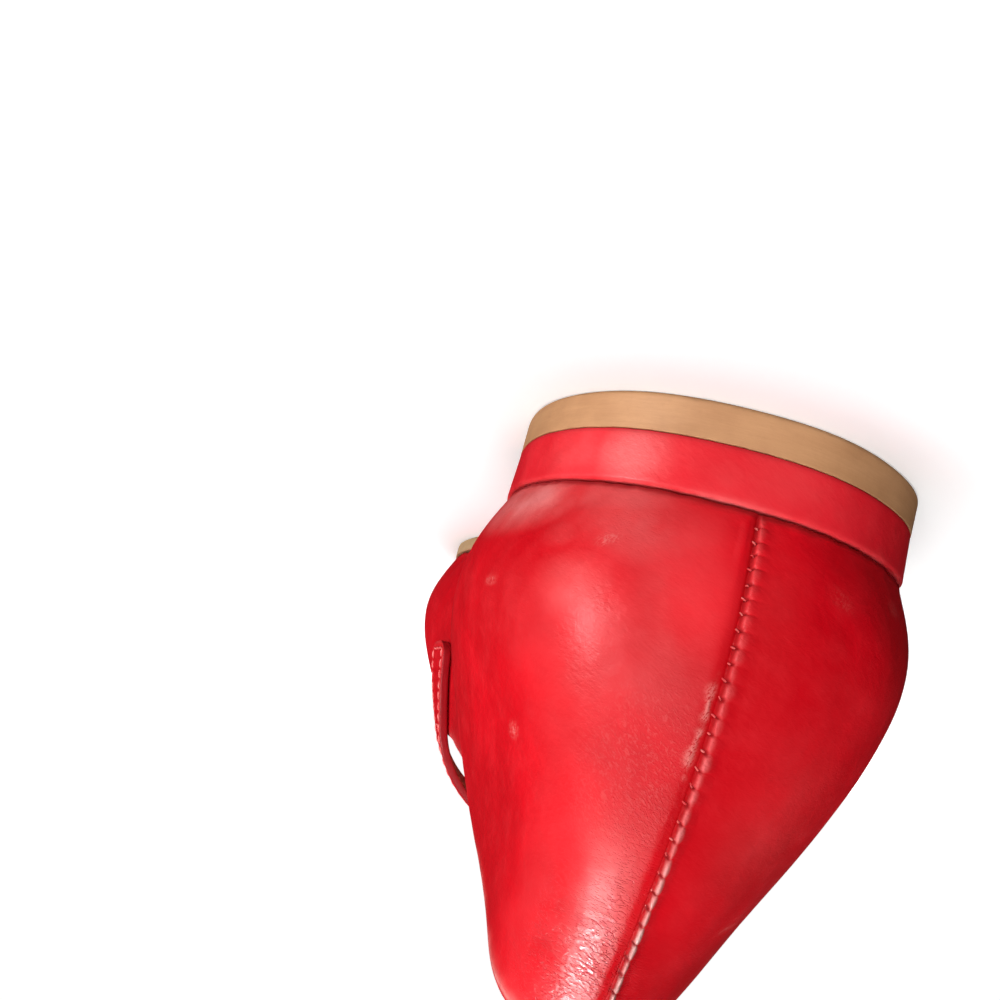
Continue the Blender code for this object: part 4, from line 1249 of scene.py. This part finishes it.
def tan_material(name, deep, main, light, banded, roughness):
    """Light tan sole material: fine bands along the ground edge, faint smudges, rubbed marks."""
    look = Look(name)
    smudge = look.noise(90.0, 4.0, 0.6)
    fine = look.noise(1500.0, 3.0, 0.6)
    bands = look.streaks(0.0, (120.0, 120.0, banded), 3.0, 0.6)
    colour = look.mix(look.ramp(smudge, 0.35, 0.65), deep, main)
    colour = look.mix(look.ramp(bands, 0.4, 0.75, 0.0, 0.45), colour, light)
    colour = look.mix(look.ramp(fine, 0.5, 0.8, 0.0, 0.3), colour, deep)
    worn = look.times(look.mark("wear_and_highlight"), look.ramp(look.noise(260.0, 4.0, 0.6), 0.42, 0.62))
    colour = look.mix(look.times(worn, 0.5), colour, (0.36, 0.10, 0.06))
    return look.finish(colour, look.ramp(smudge, 0.3, 0.7, roughness, roughness + 0.12),
                       look.bump(fine, 0.00002, look.bump(bands, 0.00006)),
                       {"Specular IOR Level": 0.35})


def lining_material(name, deep, main, light, marked):
    """Unfinished natural leather: open fine grain, soft stains where a foot has rested."""
    look = Look(name)
    broad = look.noise(55.0, 4.0, 0.6)
    fine = look.noise(900.0, 4.0, 0.65)
    pores = look.node("TexVoronoi", {"Vector": look.place, "Scale": 1500.0}).outputs["Distance"]
    colour = look.mix(look.ramp(broad, 0.35, 0.65), main, light)
    colour = look.mix(look.ramp(fine, 0.5, 0.75, 0.0, 0.4), colour, deep)
    if marked:
        rest = look.times(look.mark("wear_and_highlight"), look.ramp(broad, 0.2, 0.8, 0.25, 0.6))
        colour = look.mix(rest, colour, deep)
    return look.finish(colour, look.ramp(fine, 0.3, 0.7, 0.55, 0.72),
                       look.bump(pores, 0.00005, look.bump(fine, 0.00006)),
                       {"Specular IOR Level": 0.25})


def metal_material(name):
    """Pale gold plating with fine brushing and a little wear."""
    look = Look(name)
    wear = look.noise(420.0, 5.0, 0.65)
    fine = look.streaks(0.0, (5200.0, 900.0, 900.0), 2.0)
    colour = look.mix(look.ramp(wear, 0.45, 0.7), (0.80, 0.58, 0.27), (0.72, 0.58, 0.38))
    return look.finish(colour, look.ramp(wear, 0.3, 0.75, 0.30, 0.44),
                       look.bump(fine, 0.000004), {"Metallic": 0.5})


def thread_material(name, deep, light):
    """Waxed twisted thread."""
    look = Look(name)
    twist = look.node("TexWave", {"Vector": look.place, "Scale": 900.0, "Distortion": 2.0},
                      bands_direction="DIAGONAL").outputs["Fac"]
    uneven = look.noise(1400.0)
    return look.finish(look.mix(look.ramp(uneven, 0.35, 0.65), deep, light),
                       look.ramp(uneven, 0.3, 0.7, 0.4, 0.55), look.bump(twist, 0.00003))


# ---------------------------------------------------------------- stage

def add_lamp(name, kind, direction, distance, energy, aim, unseen=None, **shape):
    """A lamp that faces its aim; unseen is a kind of ray that doesn't meet it."""
    light = bpy.data.lights.new(name, kind)
    for key, value in shape.items():
        setattr(light, key, value)
    light.energy = energy
    lamp = link_object(name, light)
    lamp.location = aim + Vector(direction).normalized() * distance
    lamp.rotation_euler = (aim - lamp.location).to_track_quat("-Z", "Y").to_euler()
    if unseen:
        setattr(lamp, "visible_" + unseen, False)


def make_lamps():
    """Soft boxes round the shoe; a narrow lamp alone makes the glint by the collar."""
    aim = Vector((0.0, -0.08, 0.035))
    for name, direction, distance, size, energy, unseen in (
            ("key_low", (0.84, -0.54, -0.02), 0.85, (0.24, 0.24), 1.9, None),
            ("key_high", (0.05, -0.72, 0.70), 0.85, (0.24, 0.24), 2.1, "glossy"),
            ("overhead", (0.0, 0.30, 1.0), 1.1, (0.8, 0.8), 6.8, None),
            ("glint_low", (0.84, -0.54, -0.04), 0.85, (0.20, 0.20), 3.4, "diffuse"),
            ("glint_high", (0.42, -0.58, 0.70), 0.30, None, 19.0, "diffuse"),
            ("back", (0.18, -1.0, 0.35), 1.2, (1.0, 0.9), 10.1, "glossy"),
            ("side", (-1.0, 0.0, 0.3), 1.2, (1.0, 0.9), 1.5, "glossy"),
            ("inner", (1.0, 0.1, 0.2), 1.2, (1.0, 0.9), 7.2, "glossy"),
            ("below", (0.4, -0.5, -0.75), 1.2, (1.0, 0.9), 4.0, "glossy"),
            ("front", (-0.2, 0.9, 0.4), 1.2, (1.0, 0.9), 6.5, "glossy")):
        if size:
            add_lamp(name, "AREA", direction, distance, energy, aim, unseen,
                     shape="RECTANGLE", size=size[0], size_y=size[1])
        else:
            collar, reach = Vector((0.004, -0.117, 0.074)), 0.021
            add_lamp(name, "SPOT", direction, distance, energy, collar, unseen,
                     shadow_soft_size=0.015, spot_size=2.0 * math.atan(reach / distance),
                     spot_blend=1.0)


def make_floor():
    """Pale floor that rises round the shoe; pairs of radius and height are turned round it."""
    look = Look("pale_floor")
    tone = look.mix(look.noise(3.0), (0.84, 0.84, 0.84), (0.88, 0.88, 0.88))
    look.feed(look.shader, {
        "Base Color": tone, "Roughness": 0.9, "Specular IOR Level": 0.1,
        "Emission Color": (1.0, 1.0, 1.0, 1.0),
        "Emission Strength": look.ramp(look.length(look.place), 0.05, 1.1, 0.30, 1.0)})
    profile = ((0.001, 0.0), (0.25, 0.0), (0.6, 0.0), (1.5, 0.0), (3.2, 0.0), (4.2, 0.12),
               (5.0, 0.5), (5.4, 1.2), (5.5, 3.0), (5.2, 5.0), (3.5, 6.5), (0.01, 7.0))
    sides = 72
    rings = []
    for radius, height in profile:
        for k in range(sides):
            angle = 2.0 * math.pi * k / sides
            rings.append((radius * math.cos(angle), radius * math.sin(angle), height))
    mesh = bpy.data.meshes.new("floor")
    mesh.from_pydata(rings, [], ring_faces(len(profile), sides))
    mesh.shade_smooth()
    mesh.materials.append(look.material)
    floor = link_object("floor", mesh)
    for ray in ("diffuse", "glossy", "shadow"):
        setattr(floor, "visible_" + ray, False)


def make_stage():
    """Faint white surroundings, floor and lamps."""
    scene = bpy.context.scene
    scene.view_settings.view_transform = "Standard"
    world = bpy.data.worlds.new("studio")
    scene.world = world
    world.use_nodes = True
    background = world.node_tree.nodes["Background"]
    background.inputs["Color"].default_value = (1.0, 1.0, 1.0, 1.0)
    background.inputs["Strength"].default_value = 0.012
    make_floor()
    make_lamps()


def make_camera():
    """Low behind the heel, with the shoe upside down in the frame as in the photograph."""
    yaw, pitch, roll = math.radians(1.97), math.radians(-10.7), math.radians(15.97)
    forward = Vector((math.sin(yaw) * math.cos(pitch), math.cos(yaw) * math.cos(pitch),
                      math.sin(pitch)))
    right = Vector((math.cos(yaw), -math.sin(yaw), 0.0))
    up = right.cross(forward)
    turned_right = right * math.cos(roll) + up * math.sin(roll)
    turned_up = up * math.cos(roll) - right * math.sin(roll)
    camera = bpy.data.cameras.new("camera")
    camera.lens = 43.2
    camera.sensor_width = 36.0
    camera.clip_start = 5.0 * MM
    holder = link_object("camera", camera)
    axes = Matrix((-turned_right, -turned_up, -forward)).transposed()
    holder.matrix_world = Matrix.Translation((0.0224, -0.2523, 0.0434)) @ axes.to_4x4()
    bpy.context.scene.camera = holder


# ---------------------------------------------------------------- the shoe

def make_shoe():
    red = (0.62, 0.0018, 0.008), (0.80, 0.0027, 0.0118), (0.95, 0.045, 0.058)
    counter = leather_material("red_leather", *red, True, counter=True, faded_and_sheen_spots=FADED_AND_SHEEN)
    strap_red = leather_material("red_strap_leather", *red, True)
    # The heel leather is a brighter red than the upper, partly as painted light on the heel block.
    lit_heel_red = leather_material("red_heel_leather", (0.74, 0.008, 0.018), (0.90, 0.018, 0.032),
                                (0.95, 0.10, 0.10), True, grain_depth=0.06,
                                faded_and_sheen_spots=HEEL_SHEEN)
    edge_red = leather_material("red_edge_paint", (0.30, 0.004, 0.010), (0.40, 0.006, 0.012),
                                (0.60, 0.03, 0.03), False)
    thread = thread_material("red_thread", (0.82, 0.06, 0.07), (0.94, 0.24, 0.22))
    lining = lining_material("lining_leather", (0.46, 0.30, 0.18), (0.62, 0.44, 0.28),
                             (0.70, 0.53, 0.36), False)
    sock = lining_material("sock_leather", (0.44, 0.29, 0.18), (0.64, 0.46, 0.30),
                           (0.73, 0.56, 0.39), True)
    tan_heel = tan_material("tan_top_piece", (0.50, 0.240, 0.108), (0.585, 0.293, 0.137),
                            (0.64, 0.333, 0.162), 900.0, 0.5)
    tan_sole = tan_material("tan_sole", (0.50, 0.30, 0.15), (0.60, 0.38, 0.20),
                            (0.66, 0.44, 0.26), 500.0, 0.5)
    metal = metal_material("pale_gold")

    make_upper(counter, lining)
    make_seam_thread(thread)
    make_outsole(tan_sole)
    make_insole(sock, lining)
    split = TOP_PIECE_HEIGHT + CLEARANCE
    ragged = 0.05 * MM
    make_heel_piece("top_piece_rubber",
                    rounded_levels(0.0, split - 0.06 * MM, HEEL_EDGE - 0.25 * MM, 0.7 * MM,
                                   0.12 * MM, 0.0),
                    0.0, ragged, tan_heel, "top_piece")
    make_heel_piece("heel_leather",
                    rounded_levels(split, HEEL_HEIGHT, HEEL_EDGE - 0.3 * MM, 0.15 * MM,
                                   0.55 * MM, 0.04),
                    ragged, ragged, lit_heel_red, "heel_block")
    middle, normal, place = make_strap(strap_red, edge_red)
    make_strap_thread(thread, middle, normal, place)
    make_buckle(metal)
    make_pin(metal)


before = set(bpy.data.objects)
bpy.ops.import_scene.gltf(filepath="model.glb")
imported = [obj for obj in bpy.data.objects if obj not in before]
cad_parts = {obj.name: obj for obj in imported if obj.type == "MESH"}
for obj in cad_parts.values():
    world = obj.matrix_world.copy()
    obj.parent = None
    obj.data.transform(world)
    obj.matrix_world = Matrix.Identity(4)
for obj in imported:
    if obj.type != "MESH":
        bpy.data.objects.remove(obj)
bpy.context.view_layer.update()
make_shoe()
make_stage()
make_camera()
